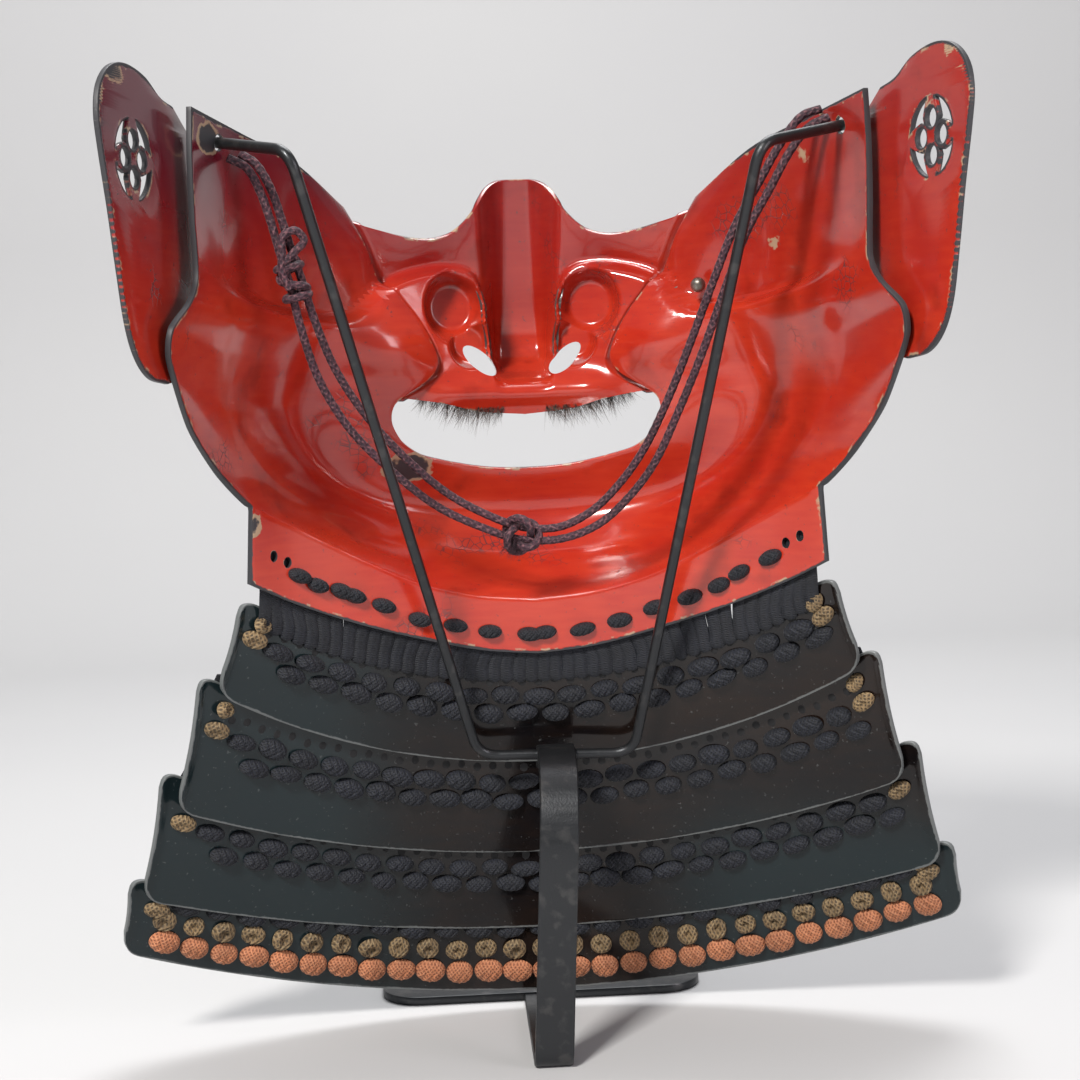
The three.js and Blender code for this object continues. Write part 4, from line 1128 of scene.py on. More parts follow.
    def build_nose(self) -> bpy.types.Object:
        """The nose piece with its open nostrils."""
        side_line = ((37, 181.2), (28.5, 186), (24.6, 190.5), (26.5, 197), (31.5, 205.5), (37.8, 213.8),
                     (43, 224), (48.5, 233.5))
        edges = np.array([(x + self.nose_lap, 0, z) for x, z in side_line], float)
        up = np.linspace(0, 1, 111)[:, None]
        share = np.linspace(1, -1, 181)[None]
        edge = spline(edges, up[:, 0])
        x = edge[:, :1] * share
        lip = along(LIP_LINE, np.abs(share) * edges[0, 0]) - along(LIP_LINE, edges[0, 0])
        rim = along(RIM_LINE, np.abs(share) * edges[-1, 0]) - along(RIM_LINE, edges[-1, 0])
        z = edge[:, 2:] + (1 - up) * lip + up * rim
        lap = self.lap_clearance * smooth(np.abs(share), 0.84, 0.94)
        grid = push_out(on_cylinder(x, z, NOSE_RADIUS), face_relief(x, z) + self.nose_relief(x, z) + lap)
        nose = plate("nose_shell", grid[::-1], IRON)
        soften(nose, 0.3)
        settle(nose)
        slant = math.radians(43)
        posts = []
        for side in Side:
            up_way = np.array([side.value * -math.sin(slant + math.pi / 2), 0, math.cos(slant + math.pi / 2)])
            centre = np.array([side.value * 12.3, 55, 190.5])
            posts.append(post(centre, np.array([0, 1.0, 0]), (6, 2.5), 60, 40, up_way))
        pierce(nose, posts)
        set_values(nose, "chip", np.zeros(len(nose.data.vertices)))
        self.spare_rim(nose, np.ones(len(nose.data.vertices), bool))
        return nose

    def build_peg(self) -> bpy.types.Object:
        """The peg's domed head on the right cheek."""
        shell = Shell()
        facing = unit(np.array([-0.45, -0.88, -0.15]))
        foot = np.array([48.2, 18.8, 209.1])
        radii = np.array([0.3, 1.5, 1.95, 2.1, 2.0, 1.6, 1.0, 0.35])
        heights = np.array([-1.4, -1.4, -1.0, -0.4, 0.4, 1.0, 1.35, 1.47])
        path = foot + facing * heights[:, None]
        section = radii[:, None, None] * circle(1.0, 28)
        sweep(shell, path, np.broadcast_to([0, 0, 1.0], path.shape), section)
        return settle(shell.build("peg_head"), 60)

    def ear_outline(self) -> Array:
        """The ear plate's outline as (backwards, height)."""
        curved = ((0, 253), (7, 254.4), (15, 258.2), (25, 259.8), (33, 258.2), (38.5, 253.5), (40.3, 247),
                  (39, 239), (35.8, 226), (32.8, 212), (29.8, 200), (25.5, 192.5), (19, 188), (10, 186.6))
        line = spline(curved, np.linspace(0, 1, 110), 0.5)
        tuck = self.ear_tuck
        return np.vstack([[(5, 187.2), (0, 198), (-tuck, 207), (-tuck, 247)], line])

    def flower(self) -> list[Array]:
        """Outlines of the pierced flower: four petals, and a gap with a cusp between each two."""
        u0, v0, radius = self.roundel
        holes = []
        for quarter in range(4):
            angle = quarter * math.pi / 2
            centre = np.array([math.cos(angle), math.sin(angle)]) * radius * 0.47
            holes.append(centre + circle(radius * 0.25, 20))
            middle, half = angle + math.pi / 4, math.radians(33)
            turns = np.linspace(middle - half, middle + half, 15)
            outer = np.stack([np.cos(turns), np.sin(turns)], -1) * radius
            inner = [(middle + half * turn, radius * reach) for turn, reach in (
                (0.55, 0.74), (0.2, 0.62), (0, 0.47), (-0.2, 0.62), (-0.55, 0.74))]
            holes.append(np.vstack([outer, [(math.cos(t) * r, math.sin(t) * r) for t, r in inner]]))
        return [hole + (u0, v0) for hole in holes]

    def build_ear(self, side: Side) -> bpy.types.Object:
        """One pierced ear plate with rounded edges."""
        name = f"ear_{side.name.lower()}_plate"
        curve = bpy.data.curves.new(name, "CURVE")
        curve.dimensions = "2D"
        curve.fill_mode = "BOTH"
        bevel = 0.22
        curve.extrude = IRON / 2 - bevel
        curve.bevel_depth = bevel
        curve.bevel_resolution = 1
        curve.offset = -bevel
        loops = [self.ear_outline(), *self.flower()]
        for loop in loops:
            strip = curve.splines.new("POLY")
            strip.points.add(len(loop) - 1)
            strip.points.foreach_set("co", np.hstack([loop, np.full((len(loop), 2), (0.0, 1.0))]).ravel())
            strip.use_cyclic_u = True
        maker = bpy.data.objects.new(name + "_outline", curve)
        bpy.context.scene.collection.objects.link(maker)
        graph = bpy.context.evaluated_depsgraph_get()
        mesh = bpy.data.meshes.new_from_object(maker.evaluated_get(graph))
        bpy.data.objects.remove(maker)
        thing = bpy.data.objects.new(name, mesh)
        bpy.context.scene.collection.objects.link(thing)
        weld = thing.modifiers.new("weld", "WELD")
        weld.merge_threshold = 0.001
        triangles = thing.modifiers.new("triangles", "TRIANGULATE")
        triangles.quad_method = "BEAUTY"
        finer = thing.modifiers.new("finer", "SUBSURF")
        finer.subdivision_type = "SIMPLE"
        finer.levels = finer.render_levels = 2
        settle(thing)
        flat = points_of(thing) * MM
        nearest = [np.min(np.linalg.norm(flat[:, None, :2] - loop[None], axis=2), axis=1) for loop in loops]
        rim = np.min(nearest, axis=0)
        flare = math.radians(self.ear_flare)
        backwards = np.array([math.sin(flare), -math.cos(flare), 0])
        outwards = np.array([math.cos(flare), math.sin(flare), 0])
        depth = flat[:, 2] + IRON / 2
        upwards = np.array([0, 0, 1.0])
        place = flat[:, :1] * backwards + depth[:, None] * outwards + flat[:, 1:2] * upwards
        place += (self.ear_x, self.ear_y, 0)
        place[:, 0] *= side.value
        thing.data.vertices.foreach_set("co", (place * MM).ravel())
        if side is Side.LEFT:
            thing.data.flip_normals()
        set_values(thing, "rim", rim)
        set_values(thing, "outside", smooth(depth, 0.5 * IRON, 0.7 * IRON))
        corner = np.array([side.value * 93, -76, 257.0])
        chip = np.clip(1.1 - np.linalg.norm((place - corner) / (7, 7, 4), axis=1), 0, 1)
        set_values(thing, "chip", chip * (0.9 if side is Side.LEFT else 0.45))
        thing.data.update()
        return settle(thing, 30)

    def stitches(self) -> Spots:
        """Stitches on the flange, at listed distances from the middle."""
        spots = Spots()
        shares = np.linspace(-1, 1, 401)
        xs = flange_point(shares, np.full(401, self.stitch_down))[:, 0]
        for x in STITCH_PLACES:
            share = float(np.interp(x, xs, shares))
            wobble = 0.03 * math.sin(x * 1.7)
            place, across, facing = surface_frame(flange_point, share, self.stitch_down + wobble)
            spots.add(place - facing * 0.25, across, -facing, (3.5, 2.0, 1.0))
        return spots

    def build(self, palette: Palette) -> None:
        """Builds and dresses every piece of the mask."""
        dress(self.build_body(), palette.red, Slot.RED, "mask_body")
        dress(self.build_nose(), palette.red, Slot.RED, "nose_piece")
        dress(self.build_peg(), palette.peg, Slot.PEG, "nose_peg")
        for side in Side:
            dress(self.build_ear(side), palette.red, Slot.RED, f"ear_plate_{side.name.lower()}")
        stitch = pad("stitch", 4, 2.2)
        stitched = Scatter(seed=3).build("flange_stitches", self.stitches(), stitch, palette.navy)
        dress(stitched, palette.navy, Slot.SILK)


@dataclass
class Moustache:
    """Bristles that hang from the lip's outer face on both sides of the middle."""

    start: float = 6.0
    end: float = 30.0
    hairs: int = 900
    length: float = 9.5

    def hair(self) -> bpy.types.Object:
        """One bristle, a bent tapering spike that hangs down its third axis."""
        shell = Shell()
        drop = np.linspace(0, 1, 6)
        path = np.stack([0 * drop, 0.16 * drop**2, -drop], -1)
        section = (0.011 * (1.05 - drop))[:, None, None] * circle(1.0, 3)
        sweep(shell, path, np.broadcast_to([1.0, 0, 0], path.shape), section)
        return shell.build("bristle")

    def spots(self, side: Side, random: np.random.Generator) -> Spots:
        """Roots of the bristles on one side."""
        spots = Spots()
        for _ in range(self.hairs):
            x = self.start + (self.end - self.start) * random.random()
            lip = float(along(LIP_LINE, np.array(x)))
            clump = 0.75 + 0.25 * math.sin(x * 2.1 + 1.3 * side.value)
            taper = 0.55 + 0.45 * math.sin(math.pi * (x - self.start + 3) / (self.end - self.start + 6))
            root = on_cylinder(side.value * x, lip + 0.4 + 2.4 * random.random(), NOSE_RADIUS + IRON + 0.3)
            root = push_out(root, -3.4 * float(1 - smooth(np.array(x), 18, 32)) + 0.8 * random.random())
            lean = side.value * (0.35 + 0.5 * random.random()) * 0.7 + 0.25 * random.standard_normal()
            hang = np.array([-lean, -0.10 - 0.35 * random.random(), 1.0])
            long = self.length * taper * clump * (0.55 + 0.5 * random.random())
            spots.add(root, np.array([1.0, 0, 0]), hang, (long, long, long))
        return spots

    def build(self, palette: Palette) -> None:
        """Builds and dresses both halves."""
        random = np.random.default_rng(11)
        for side in Side:
            label = side.name.lower()
            half = Scatter(seed=5, size_jitter=0.1, turn_jitter=0.08).build(
                f"bristles_{label}", self.spots(side, random), self.hair(), palette.hair)
            dress(half, palette.hair, Slot.HAIR, f"moustache_{label}")


# ---- Throat guard --------------------------------------------------------------------------------
@dataclass(frozen=True)
class Lame:
    """One curved plate of the throat guard, given at its middle and its right end."""

    number: int
    top_middle: tuple[float, float]
    top_end: tuple[float, float, float]
    bottom_middle: tuple[float, float]
    bottom_end: tuple[float, float, float]

    def arc(self, middle: tuple[float, float], end: tuple[float, float, float], share: Array) -> Array:
        """A point on an arc in plan through the middle and both ends."""
        sagitta = middle[0] - end[1]
        radius = (end[0] ** 2 + sagitta**2) / (2 * sagitta)
        whole = math.asin(end[0] / radius)
        angle = whole * share
        rise = (1 - np.cos(angle)) / (1 - math.cos(whole))
        y = middle[0] - radius * (1 - np.cos(angle))
        return np.stack([radius * np.sin(angle), y, middle[1] + (end[2] - middle[1]) * rise], -1)

    def point(self, share: Array, down: Array) -> Array:
        """A point of the inner face; share runs across from -1 to 1 and down from 0 to 1."""
        share, down = np.broadcast_arrays(np.asarray(share, float), np.asarray(down, float))
        top = self.arc(self.top_middle, self.top_end, share)
        bottom = self.arc(self.bottom_middle, self.bottom_end, share)
        point = top + (bottom - top) * down[..., None]
        lip = 0.9 * smooth(np.abs(share), 0.965, 1.0)
        return push_out(point, -1.2 * np.sin(math.pi * down) - lip)

    def build(self) -> bpy.types.Object:
        """The plate with round corners and turned ends."""
        turn = np.linspace(-1, 1, 161)
        share = np.sin(turn * math.pi / 2) * 0.45 + turn * 0.55
        corner = 6.0
        reach = (1 - np.abs(share)) * self.bottom_end[0]
        inset = np.maximum(corner - reach, 0)
        trim = corner - np.sqrt(np.maximum(corner**2 - inset**2, 0))
        height = np.linalg.norm(self.point(share, 0.0 * share) - self.point(share, 0.0 * share + 1), axis=1)
        cut = (trim / height)[:, None]
        down = cut + (1 - 2 * cut) * np.linspace(0, 1, 29)[None]
        grid = self.point(np.broadcast_to(share[:, None], down.shape), down)
        thing = plate(f"lame_{self.number}_plate", grid, LAME_THICKNESS)
        soften(thing, 0.45, 3)
        return settle(thing)

    def row(self, down: float, pitch: float, size: tuple[float, float, float], lift: float = 0.1,
            shift: float = 0.0, reach: float = 0.90) -> Spots:
        """Evenly spaced places along the inner face.

        Args:
            down: how far down the face the row lies.
            pitch: the distance between neighbours.
            size: the copies' size.
            lift: how far off the face they sit.
            shift: sideways shift, in pitches.
            reach: how far towards the ends the row goes.

        Returns:
            The places.
        """
        spots = Spots()
        count = max(int(2 * reach * self.bottom_end[0] / pitch), 2)
        for k in range(count):
            share = reach * (2 * (k + 0.5 + shift) / count - 1)
            drift = 0.012 * math.sin(2.3 * k + self.number)
            place, across, facing = surface_frame(self.point, share, down + drift)
            spots.add(place - facing * lift, across, -facing, size)
        return spots


@dataclass
class ThroatGuard:
    """Four lames with their lacing: dense laces outside, and rows of pads inside."""

    lames: tuple[Lame, ...] = (
        Lame(1, (14.3, 108), (78.5, -13.2, 131), (22, 77.4), (86.6, -10.5, 105.7)),
        Lame(2, (24.4, 83), (90.6, -9.4, 111), (30, 49.7), (99.6, -2, 73)),
        Lame(3, (32.4, 55), (102.8, -1.4, 84.5), (37, 25.8), (111, 5, 47.5)),
        Lame(4, (39.4, 31), (114, 5.2, 54), (44, 5.3), (118.6, 12, 31.6)),
    )
    lace_width: float = 3.5
    lace_thickness: float = 1.3

    def lace_rows(self, index: int) -> list[tuple[Surface, float, float]]:
        """The stations of the laces above a lame: surface, how far down it, and shift outwards."""
        lower = self.lames[index].point
        if index == 0:
            return [(flange_point, 0.35, 2.2), (flange_point, 0.8, 2.4), (flange_point, 1.0, 2.0),
                    (lower, 0.06, -1.1), (lower, 0.14, -0.9), (lower, 0.22, -0.3)]
        upper = self.lames[index - 1].point
        return [(upper, 0.40, 2.1), (upper, 0.62, 2.5), (upper, 0.80, 2.6),
                (lower, -0.04, 2.5), (lower, 0.22, 2.1)]

    def build_laces(self, index: int) -> bpy.types.Object:
        """Upright laces side by side, from one plate down to the next."""
        shell = Shell()
        rows = self.lace_rows(index)
        shares = np.linspace(-0.93, 0.93, 60)
        line = self.lames[index].point(shares, 0.0 * shares)
        length = float(np.sum(np.linalg.norm(np.diff(line, axis=0), axis=1)))
        count = int(length / self.lace_width)
        section = circle(1.0, 10) * (self.lace_width * 0.58, self.lace_thickness / 2)
        for k in range(count):
            share = 0.93 * (2 * (k + 0.5) / count - 1)
            knots, ways = [], []
            for surface, down, shift in rows:
                place, across, facing = surface_frame(surface, share, down)
                knots.append(place + facing * shift)
                ways.append(across)
            steps = np.linspace(0, 1, 17)
            path = spline(knots, steps)
            across = spline(ways, steps, 0.5)
            sway = 0.25 * math.sin(3.1 * k + index)
            swell = 1 + 0.05 * np.sin(steps * 9 + k)
            swell[0], swell[-1] = 0.55, 0.55
            sweep(shell, path + across * sway * np.sin(math.pi * steps)[:, None], across,
                  swell[:, None, None] * section, self.lace_width)
        return settle(shell.build(f"laces_{index + 1}"), 60)

    def inner_rows(self, palette: Palette, lame: Lame) -> None:
        """Pads, dark discs painted as the shade in the lace holes, and end knots on the inner face of a lame."""
        dark, size = Spots(), (4.2, 2.6, 1.0)
        downs = (0.36, 0.52) if lame.number < 4 else (0.24,)
        for k, down in enumerate(downs):
            row = lame.row(down, 8.9, size, shift=0.5 * k)
            dark.places += row.places
            dark.turns += row.turns
            dark.sizes += row.sizes
        pads = Scatter(seed=lame.number, size_jitter=0.14, turn_jitter=0.13).build(
            f"pads_{lame.number}", dark, pad("pad", 4, 2.3), palette.navy)
        dress(pads, palette.navy, Slot.SILK)
        if lame.number < 4:
            # The lace holes are not cut: flat near-black discs paint the shade inside them.
            holes = Scatter(seed=1, size_jitter=0.1, turn_jitter=0.0).build(
                f"lace_holes_{lame.number}", lame.row(0.22, 4.4, (1.1, 1.25, 1.0), -0.02, reach=0.91),
                pad("hole", 0, 0.06), palette.hole)
            dress(holes, palette.hole, Slot.BLACK)
        knots = Spots()
        for side in Side:
            for share, down in ((0.93, 0.34), (0.915, 0.18)):
                place, across, facing = surface_frame(lame.point, side.value * share, down)
                knots.add(place - facing * 0.3, across, -facing, (3.4, 2.6, 1.0))
        ends = Scatter(seed=9, size_jitter=0.18, turn_jitter=0.5).build(
            f"end_knots_{lame.number}", knots, pad("knot", 4, 2.0, 0.9), palette.gold)
        dress(ends, palette.gold, Slot.SILK)

    def bottom_rows(self, palette: Palette) -> None:
        """The gold rosettes and orange pads along the lowest lame."""
        lame = self.lames[3]
        row = lame.row(0.47, 8.2, (3.3, 3.1, 1.0), reach=0.945)
        rosettes = Scatter(seed=4, size_jitter=0.1, turn_jitter=0.3).build(
            "gold_rosettes", row, pad("rosette", 4, 2.2, 1.9), palette.gold)
        dress(rosettes, palette.gold, Slot.SILK)
        woven = Scatter(seed=6, size_jitter=0.07, turn_jitter=0.07).build(
            "orange_pads", lame.row(0.745, 8.2, (4.25, 3.5, 1.0), shift=0.1, reach=0.945),
            pad("woven", 4, 2.3), palette.orange)
        dress(woven, palette.orange, Slot.SILK)

    def build(self, palette: Palette) -> None:
        """Builds and dresses the lames and all their lacing."""
        for index, lame in enumerate(self.lames):
            dress(lame.build(), palette.black, Slot.BLACK, f"lame_{lame.number}")
            dress(self.build_laces(index), palette.navy, Slot.SILK, f"lacing_{lame.number}")
            self.inner_rows(palette, lame)
        self.bottom_rows(palette)


# ---- Stand ---------------------------------------------------------------------------------------
@dataclass
class Stand:
    """The wire yoke, the flat strap that carries it, and the foot plate."""

    wire_diameter: float = 2.8
    bend: float = 6.0
    tip_reach: float = 2.0
    strap_x: float = 4.0
    strap_top: float = 82.2
    strap_front: float = 13.0
    strap_back: float = -12.0
    strap_width: float = 10.4
    strap_thickness: float = 2.0
    strap_lean: float = 0.056
    foot: tuple[float, float, float, float] = (96.0, 50.0, 92.0, 2.6)

    def wire_path(self) -> Array:
        """The wire's middle line with rounded bends."""
        route = np.array(WIRE_ROUTE, float)
        route[0] += unit(route[0] - route[1]) * self.tip_reach
        route[-1] += unit(route[-1] - route[-2]) * self.tip_reach
        path = [route[0]]
        for before, here, after in zip(route[:-2], route[1:-1], route[2:]):
            enter, leave = here + unit(before - here) * self.bend, here + unit(after - here) * self.bend
            t = np.linspace(0, 1, 13)[:, None]
            path.extend((1 - t) ** 2 * enter + 2 * t * (1 - t) * here + t**2 * leave)
        path.append(route[-1])
        return np.array(path)

    def build_wire(self) -> bpy.types.Object:
        """The wire as one round rod."""
        shell = Shell()
        path = self.wire_path()
        sweep(shell, path, steady_across(path, (0, 0, 1.0)), circle(self.wire_diameter / 2, 20))
        return settle(shell.build("yoke_wire"), 40)

    def strap_path(self) -> Array:
        """The strap's middle line: from the wire back and down to the floor, then forward."""
        t = np.linspace(0, 1, 22)[:, None]
        half = self.strap_thickness / 2
        middle = self.strap_back + half
        start = np.array([self.strap_front + 1.4, self.strap_top + 0.3])
        corner = np.array([middle, self.strap_top + 0.3])
        low = np.array([middle, self.strap_top - 26])
        top = (1 - t) ** 2 * start + 2 * t * (1 - t) * corner + t**2 * low
        straight = np.linspace(low, (middle, 5.0), 12)[1:]
        turn = np.linspace(0, math.pi / 2, 9)[1:]
        heel = np.stack([middle + 4 - 4 * np.cos(turn), 5 - 4 * np.sin(turn)], -1)
        floor = np.linspace(heel[-1], (self.foot[1] + 8, half), 10)[1:]
        line = np.vstack([top, straight, heel, floor])
        x = self.strap_x + self.strap_lean * (line[:, 1] - self.strap_top)
        return np.column_stack([x, line])

    def build_strap(self) -> bpy.types.Object:
        """The strap with rounded edges, and the clip that wraps the wire."""
        shell = Shell()
        width, thick, edge = self.strap_width / 2, self.strap_thickness / 2, 0.35
        corners = [(width, -thick), (width, thick), (-width, thick), (-width, -thick)]
        ends = ((edge, 0), (0, edge))
        section = np.array([(x - math.copysign(dx, x), y - math.copysign(dy, y))
                            for k, (x, y) in enumerate(corners) for dx, dy in (ends if k % 2 == 0 else ends[::-1])])
        path = self.strap_path()
        sweep(shell, path, np.broadcast_to([1.0, 0, 0], path.shape), section)
        clip = np.linspace(-0.45, 1.15, 15) * math.pi
        centre = np.array([self.strap_x, self.strap_front, 81.0])
        wrap = centre + 2.2 * np.stack([0 * clip, np.cos(clip), np.sin(clip)], -1)
        sweep(shell, wrap, np.broadcast_to([1.0, 0, 0], wrap.shape), section * (0.97, 0.55))
        return settle(shell.build("stand_strap"), 40)

    def build_foot(self) -> bpy.types.Object:
        """The thin foot plate with round corners."""
        width, near, far, thick = self.foot
        corner = 12.0
        turn = np.linspace(0, math.pi / 2, 10)
        arcs = []
        right, front, back = width / 2 - corner, far - corner, near + corner
        for k, (x, y) in enumerate(((right, front), (-right, front), (-right, back), (right, back))):
            quarter = turn + k * math.pi / 2
            arcs.append(np.stack([x + corner * np.cos(quarter), y + corner * np.sin(quarter)], -1))
        outline = np.vstack(arcs)
        count = len(outline)
        levels = np.repeat([0.0, thick], count)[:, None]
        points = np.hstack([np.vstack([outline, outline]), levels])
        faces = [[i, (i + 1) % count, (i + 1) % count + count, i + count] for i in range(count)]
        faces += [list(range(count))[::-1], list(range(count, 2 * count))]
        shell = Shell()
        shell.add(points, faces)
        thing = shell.build("foot_plate")
        soften(thing, 0.5)
        return settle(thing)

    def build(self, palette: Palette) -> None:
        """Builds and dresses the stand."""
        dress(self.build_wire(), palette.iron, Slot.IRON, "stand")
        dress(self.build_strap(), palette.iron, Slot.IRON)
        dress(self.build_foot(), palette.iron, Slot.IRON)


# ---- Chin cord -----------------------------------------------------------------------------------
LOWER_ROUTE = (
    (-0.0748, -0.0294, 0.2422), (-0.0703, -0.0280, 0.2397), (-0.0674, -0.0260, 0.2340),
    (-0.0653, -0.0250, 0.2272), (-0.0633, -0.0240, 0.2189), (-0.0611, -0.0225, 0.2103),
    (-0.0592, -0.0200, 0.2005), (-0.0554, -0.0140, 0.1867), (-0.0483, -0.0090, 0.1736),
    (-0.0379, -0.0050, 0.1620), (-0.0261, -0.0030, 0.1519), (-0.0146, -0.0025, 0.1459),
    (-0.0043, -0.0025, 0.1422), (0.0067, -0.0030, 0.1420), (0.0167, -0.0040, 0.1456),
    (0.0250, -0.0070, 0.1530), (0.0315, -0.0100, 0.1617), (0.0377, -0.0150, 0.1753),
    (0.0437, -0.0200, 0.1903), (0.0495, -0.0250, 0.2067), (0.0548, -0.0285, 0.2204),
    (0.0605, -0.0305, 0.2305), (0.0655, -0.0315, 0.2393), (0.0705, -0.0325, 0.2454),
    (0.0754, -0.0326, 0.2476),
)
UPPER_ROUTE = (
    (-0.0720, -0.0272, 0.2434), (-0.0682, -0.0260, 0.2409), (-0.0647, -0.0250, 0.2345),
    (-0.0625, -0.0240, 0.2272), (-0.0604, -0.0230, 0.2194), (-0.0581, -0.0215, 0.2115),
    (-0.0555, -0.0190, 0.2016), (-0.0508, -0.0125, 0.1885), (-0.0436, -0.0080, 0.1765),
    (-0.0341, -0.0040, 0.1652), (-0.0231, -0.0020, 0.1551), (-0.0126, -0.0015, 0.1489),
    (-0.0036, -0.0015, 0.1454), (0.0063, -0.0020, 0.1451), (0.0151, -0.0030, 0.1492),
    (0.0224, -0.0055, 0.1562), (0.0288, -0.0090, 0.1652), (0.0351, -0.0140, 0.1784),
    (0.0408, -0.0190, 0.1929), (0.0467, -0.0240, 0.2088), (0.0521, -0.0275, 0.2222),
    (0.0580, -0.0295, 0.2324), (0.0633, -0.0305, 0.2414), (0.0690, -0.0310, 0.2483),
    (0.0738, -0.0310, 0.2499),
)


@dataclass
class ChinCord:
    """Two braided strands that hang between the wire holes, and the two knots that tie them."""

    diameter: float = 2.2
    sides: int = 16

    def braided(self, shell: Shell, path: Array, diameter: float) -> None:
        """Adds a strand whose threads cross in relief.

        Args:
            shell: the mesh that takes the strand.
            path: the middle of the strand.
            diameter: its diameter.
        """
        run = np.concatenate([[0], np.cumsum(np.linalg.norm(np.diff(path, axis=0), axis=1))])
        turn = np.linspace(0, 2 * math.pi, self.sides, endpoint=False)
        phase = run[:, None] * 2.4
        relief = np.maximum(np.cos(2 * turn + phase), np.cos(2 * turn - phase))
        radius = diameter / 2 * (0.965 + 0.035 * relief)
        section = np.stack([np.cos(turn) * radius, np.sin(turn) * radius], -1)
        sweep(shell, path, steady_across(path, (0, 1.0, 0.2)), section)

    def strand(self, name: str, route: Sequence[Sequence[float]]) -> tuple[bpy.types.Object, Array]:
        """One strand along its route, and the points that it follows."""
        rough = spline(np.array(route) / MM, np.linspace(0, 1, 1500))
        run = np.concatenate([[0], np.cumsum(np.linalg.norm(np.diff(rough, axis=0), axis=1))])
        even = np.linspace(0, run[-1], int(run[-1] / 0.42))
        path = np.stack([np.interp(even, run, rough[:, k]) for k in range(3)], -1)
        shell = Shell()
        self.braided(shell, path, self.diameter)
        return settle(shell.build(name), 70), path

    def side_knot(self) -> bpy.types.Object:
        """Turns of cord round both strands, with a loop that stands off to the left."""
        shell = Shell()
        centre = np.array([-60.4, -22.4, 211.6])
        axis = unit(np.array([2.4, 1.6, -10.0]))
        side = unit(np.cross(axis, [0, 1.0, 0]))
        front = np.cross(side, axis)
        t = np.linspace(0, 1, 170)[:, None]
        turn = 2 * math.pi * 3.1 * t + 0.6
        body = centre + axis * (t - 0.5) * 12 + side * np.cos(turn) * 3.0 + front * np.sin(turn) * 2.5
        body += axis * 1.3 * np.sin(turn * 0.5 + 1)
        self.braided(shell, body, self.diameter)
        knots = [centre + side * a + front * b + axis * c for a, b, c in (
            (-1, -2.6, -5), (3, -2.9, -7.4), (5.6, -1.6, -9.2), (4.2, -1.8, -12.2), (0.8, -2.4, -11.6),
            (-0.4, -2.8, -8), (-1.8, -3.0, -3), (-1.2, -2.9, 1.5))]
        self.braided(shell, spline(knots, np.linspace(0, 1, 110)), self.diameter * 0.95)
        return settle(shell.build("side_knot_wraps"), 70)

    def centre_knot(self) -> bpy.types.Object:
        """The middle knot, wound over both strands."""
        shell = Shell()
        centre = np.array([-4.0, -2.4, 143.4])
        t = np.linspace(0, 1, 220)[:, None]
        turn = 2 * math.pi * t
        big = np.hstack([3.6 * np.cos(2 * turn) * (1 + 0.3 * np.cos(3 * turn)), 2.9 * np.sin(3 * turn),
                         3.7 * np.sin(2 * turn) * (1 + 0.3 * np.cos(3 * turn))])
        self.braided(shell, centre + big, self.diameter)
        return settle(shell.build("centre_knot_wraps"), 70)

    def frayed(self, palette: Palette) -> bpy.types.Object:
        """Frayed ends below the middle knot."""
        random = np.random.default_rng(21)
        spots = Spots()
        for _ in range(240):
            way = np.array([0.75 + 0.5 * random.standard_normal(),
                            0.5 + 0.35 * random.standard_normal(), 1.0])
            root = np.array([-5.5, -3.6, 141.6]) + random.standard_normal(3) * (1.3, 0.8, 0.9)
            long = 2.2 + 3.0 * random.random()
            spots.add(root, np.array([1.0, 0, 0]), way, (long * 1.4, long * 1.4, long))
        fibre = Moustache().hair()
        scatter = Scatter(seed=2, size_jitter=0.1, turn_jitter=0.1)
        return scatter.build("frayed_ends", spots, fibre, palette.cord)

    def build(self, palette: Palette) -> None:
        side, centre = self.side_knot(), self.centre_knot()
        frayed = self.frayed(palette)
        dress(side, palette.cord, Slot.CORD, "side_knot")
        dress(centre, palette.cord, Slot.CORD, "centre_knot")
        dress(frayed, palette.cord, Slot.CORD)
        strands = (("lower", LOWER_ROUTE, [side, centre, frayed]), ("upper", UPPER_ROUTE, []))
        for name, route, pieces in strands:
            strand, path = self.strand(f"strand_{name}", route)
            dress(strand, palette.cord, Slot.CORD, f"cord_{name}")


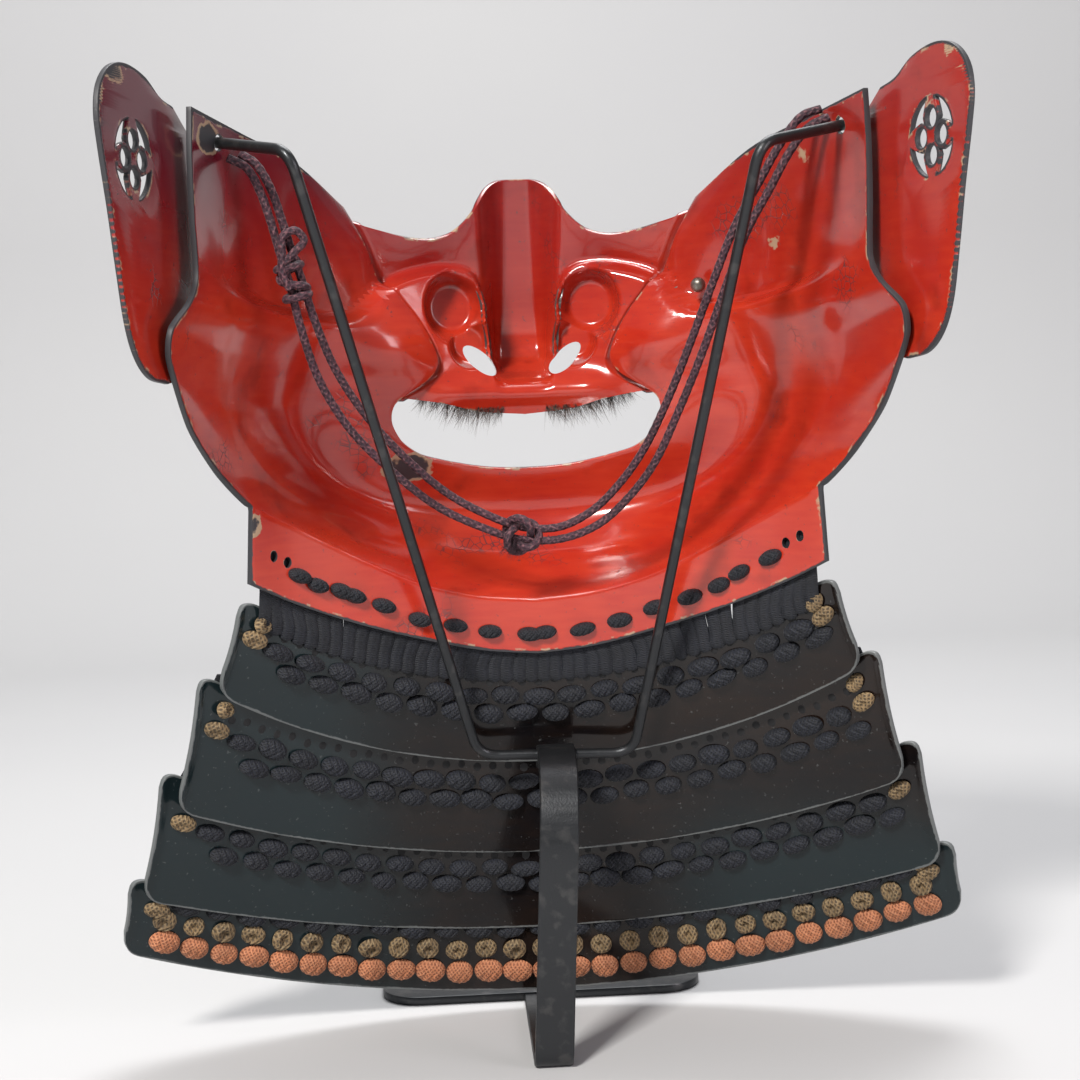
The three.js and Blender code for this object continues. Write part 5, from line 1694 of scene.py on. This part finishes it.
# ---- Studio --------------------------------------------------------------------------------------
@dataclass
class Studio:
    """The camera, the lights, the floor and the backdrop."""

    azimuth: float = -3.0
    elevation: float = 4.0
    roll: float = 2.0
    distance: float = 0.535
    target: tuple[float, float, float] = (0.0013, 0.0, 0.148)
    lens: float = 66.5
    shift_down: float = 0.022

    def build_camera(self) -> None:
        """The camera on the wearer's side, level with the mouth."""
        a, e, r = (math.radians(v) for v in (self.azimuth, self.elevation, self.roll))
        back = Vector((math.sin(a) * math.cos(e), -math.cos(a) * math.cos(e), math.sin(e)))
        level = (-back).cross(Vector((0, 0, 1))).normalized()
        upright = level.cross(-back)
        right = level * math.cos(r) - upright * math.sin(r)
        up = upright * math.cos(r) + level * math.sin(r)
        data = bpy.data.cameras.new("camera")
        data.lens = self.lens
        data.sensor_width = 36.0
        data.shift_y = -self.shift_down
        data.clip_start = 0.01
        camera = bpy.data.objects.new("camera", data)
        bpy.context.scene.collection.objects.link(camera)
        turn = Matrix((right, up, back)).transposed().to_4x4()
        camera.matrix_world = Matrix.Translation(Vector(self.target) + back * self.distance) @ turn
        bpy.context.scene.camera = camera

    def lamp(self, name: str, place: Sequence[float], aim: Sequence[float], size: float, power: float,
             colour: Rgb = (1, 1, 1)) -> None:
        """An area light.

        Args:
            name: its name.
            place: where it stands, in metres.
            aim: the point that it faces.
            size: its width.
            power: its watts.
            colour: its colour.
        """
        data = bpy.data.lights.new(name, "AREA")
        data.size = size
        data.energy = power
        data.color = colour
        light = bpy.data.objects.new(name, data)
        bpy.context.scene.collection.objects.link(light)
        light.location = place
        light.rotation_euler = (Vector(aim) - Vector(place)).to_track_quat("-Z", "Y").to_euler()

    def build_floor(self) -> None:
        """A pale floor that curves up into a backdrop."""
        shell = Shell()
        turn = np.linspace(0, math.pi / 2, 12)
        bend, far = 300.0, 1100.0
        line = np.vstack([[(-1600, 0), (far - bend, 0)],
                          np.stack([far - bend + bend * np.sin(turn), bend - bend * np.cos(turn)], -1)[1:],
                          [(far, 2200)]])
        left, right = (np.column_stack([np.full(len(line), x), line]) for x in (-2500.0, 2500.0))
        count = len(line)
        faces = [[i, i + count, i + count + 1, i + 1] for i in range(count - 1)]
        shell.add(np.vstack([left, right]), faces)
        floor = settle(shell.build("floor"), 60)
        material, graph, shader = new_material("pale_floor")
        place = graph.add("ShaderNodeTexCoord").outputs["Object"]
        tone = graph.mix(graph.noise(place, 3.0), rgba((0.50, 0.50, 0.51)), rgba((0.54, 0.54, 0.54)))
        graph.feed(shader.inputs["Base Color"], tone)
        shader.inputs["Roughness"].default_value = 0.7
        floor.data.materials.append(material)

    def build_light(self) -> None:
        """A key from the upper left, a fill, a back light and a soft sky."""
        middle = (0.0, 0.0, 0.15)
        self.lamp("key", (-0.50, -0.95, 0.95), middle, 0.22, 25.0, (1.0, 0.97, 0.93))
        self.lamp("fill", (0.95, -0.75, 0.45), middle, 0.5, 5.0, (1.0, 0.92, 0.96))
        self.lamp("top", (0.1, 0.45, 1.1), middle, 0.6, 8.0)
        self.lamp("backdrop", (0.0, 0.45, 1.5), (0.0, 1.1, 0.5), 1.2, 6.0)
        world = bpy.data.worlds.new("sky")
        world.use_nodes = True
        world.node_tree.nodes["Background"].inputs["Color"].default_value = (0.80, 0.84, 0.90, 1)
        world.node_tree.nodes["Background"].inputs["Strength"].default_value = 0.26
        bpy.context.scene.world = world

    def build(self) -> None:
        """Builds everything but the camera."""
        self.build_floor()
        self.build_light()
        bpy.context.scene.view_settings.view_transform = "Standard"


def main() -> None:
    """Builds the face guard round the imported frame."""
    logging.basicConfig(level=logging.INFO, format="%(message)s")
    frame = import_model()
    log.info("frame with %d nodes", len(frame["nodes"]))
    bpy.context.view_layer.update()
    studio = Studio()
    studio.build_camera()
    palette = Palette()
    ChinCord().build(palette)
    Mask().build(palette)
    Moustache().build(palette)
    ThroatGuard().build(palette)
    Stand().build(palette)
    studio.build()


if __name__ == "__main__":
    main()
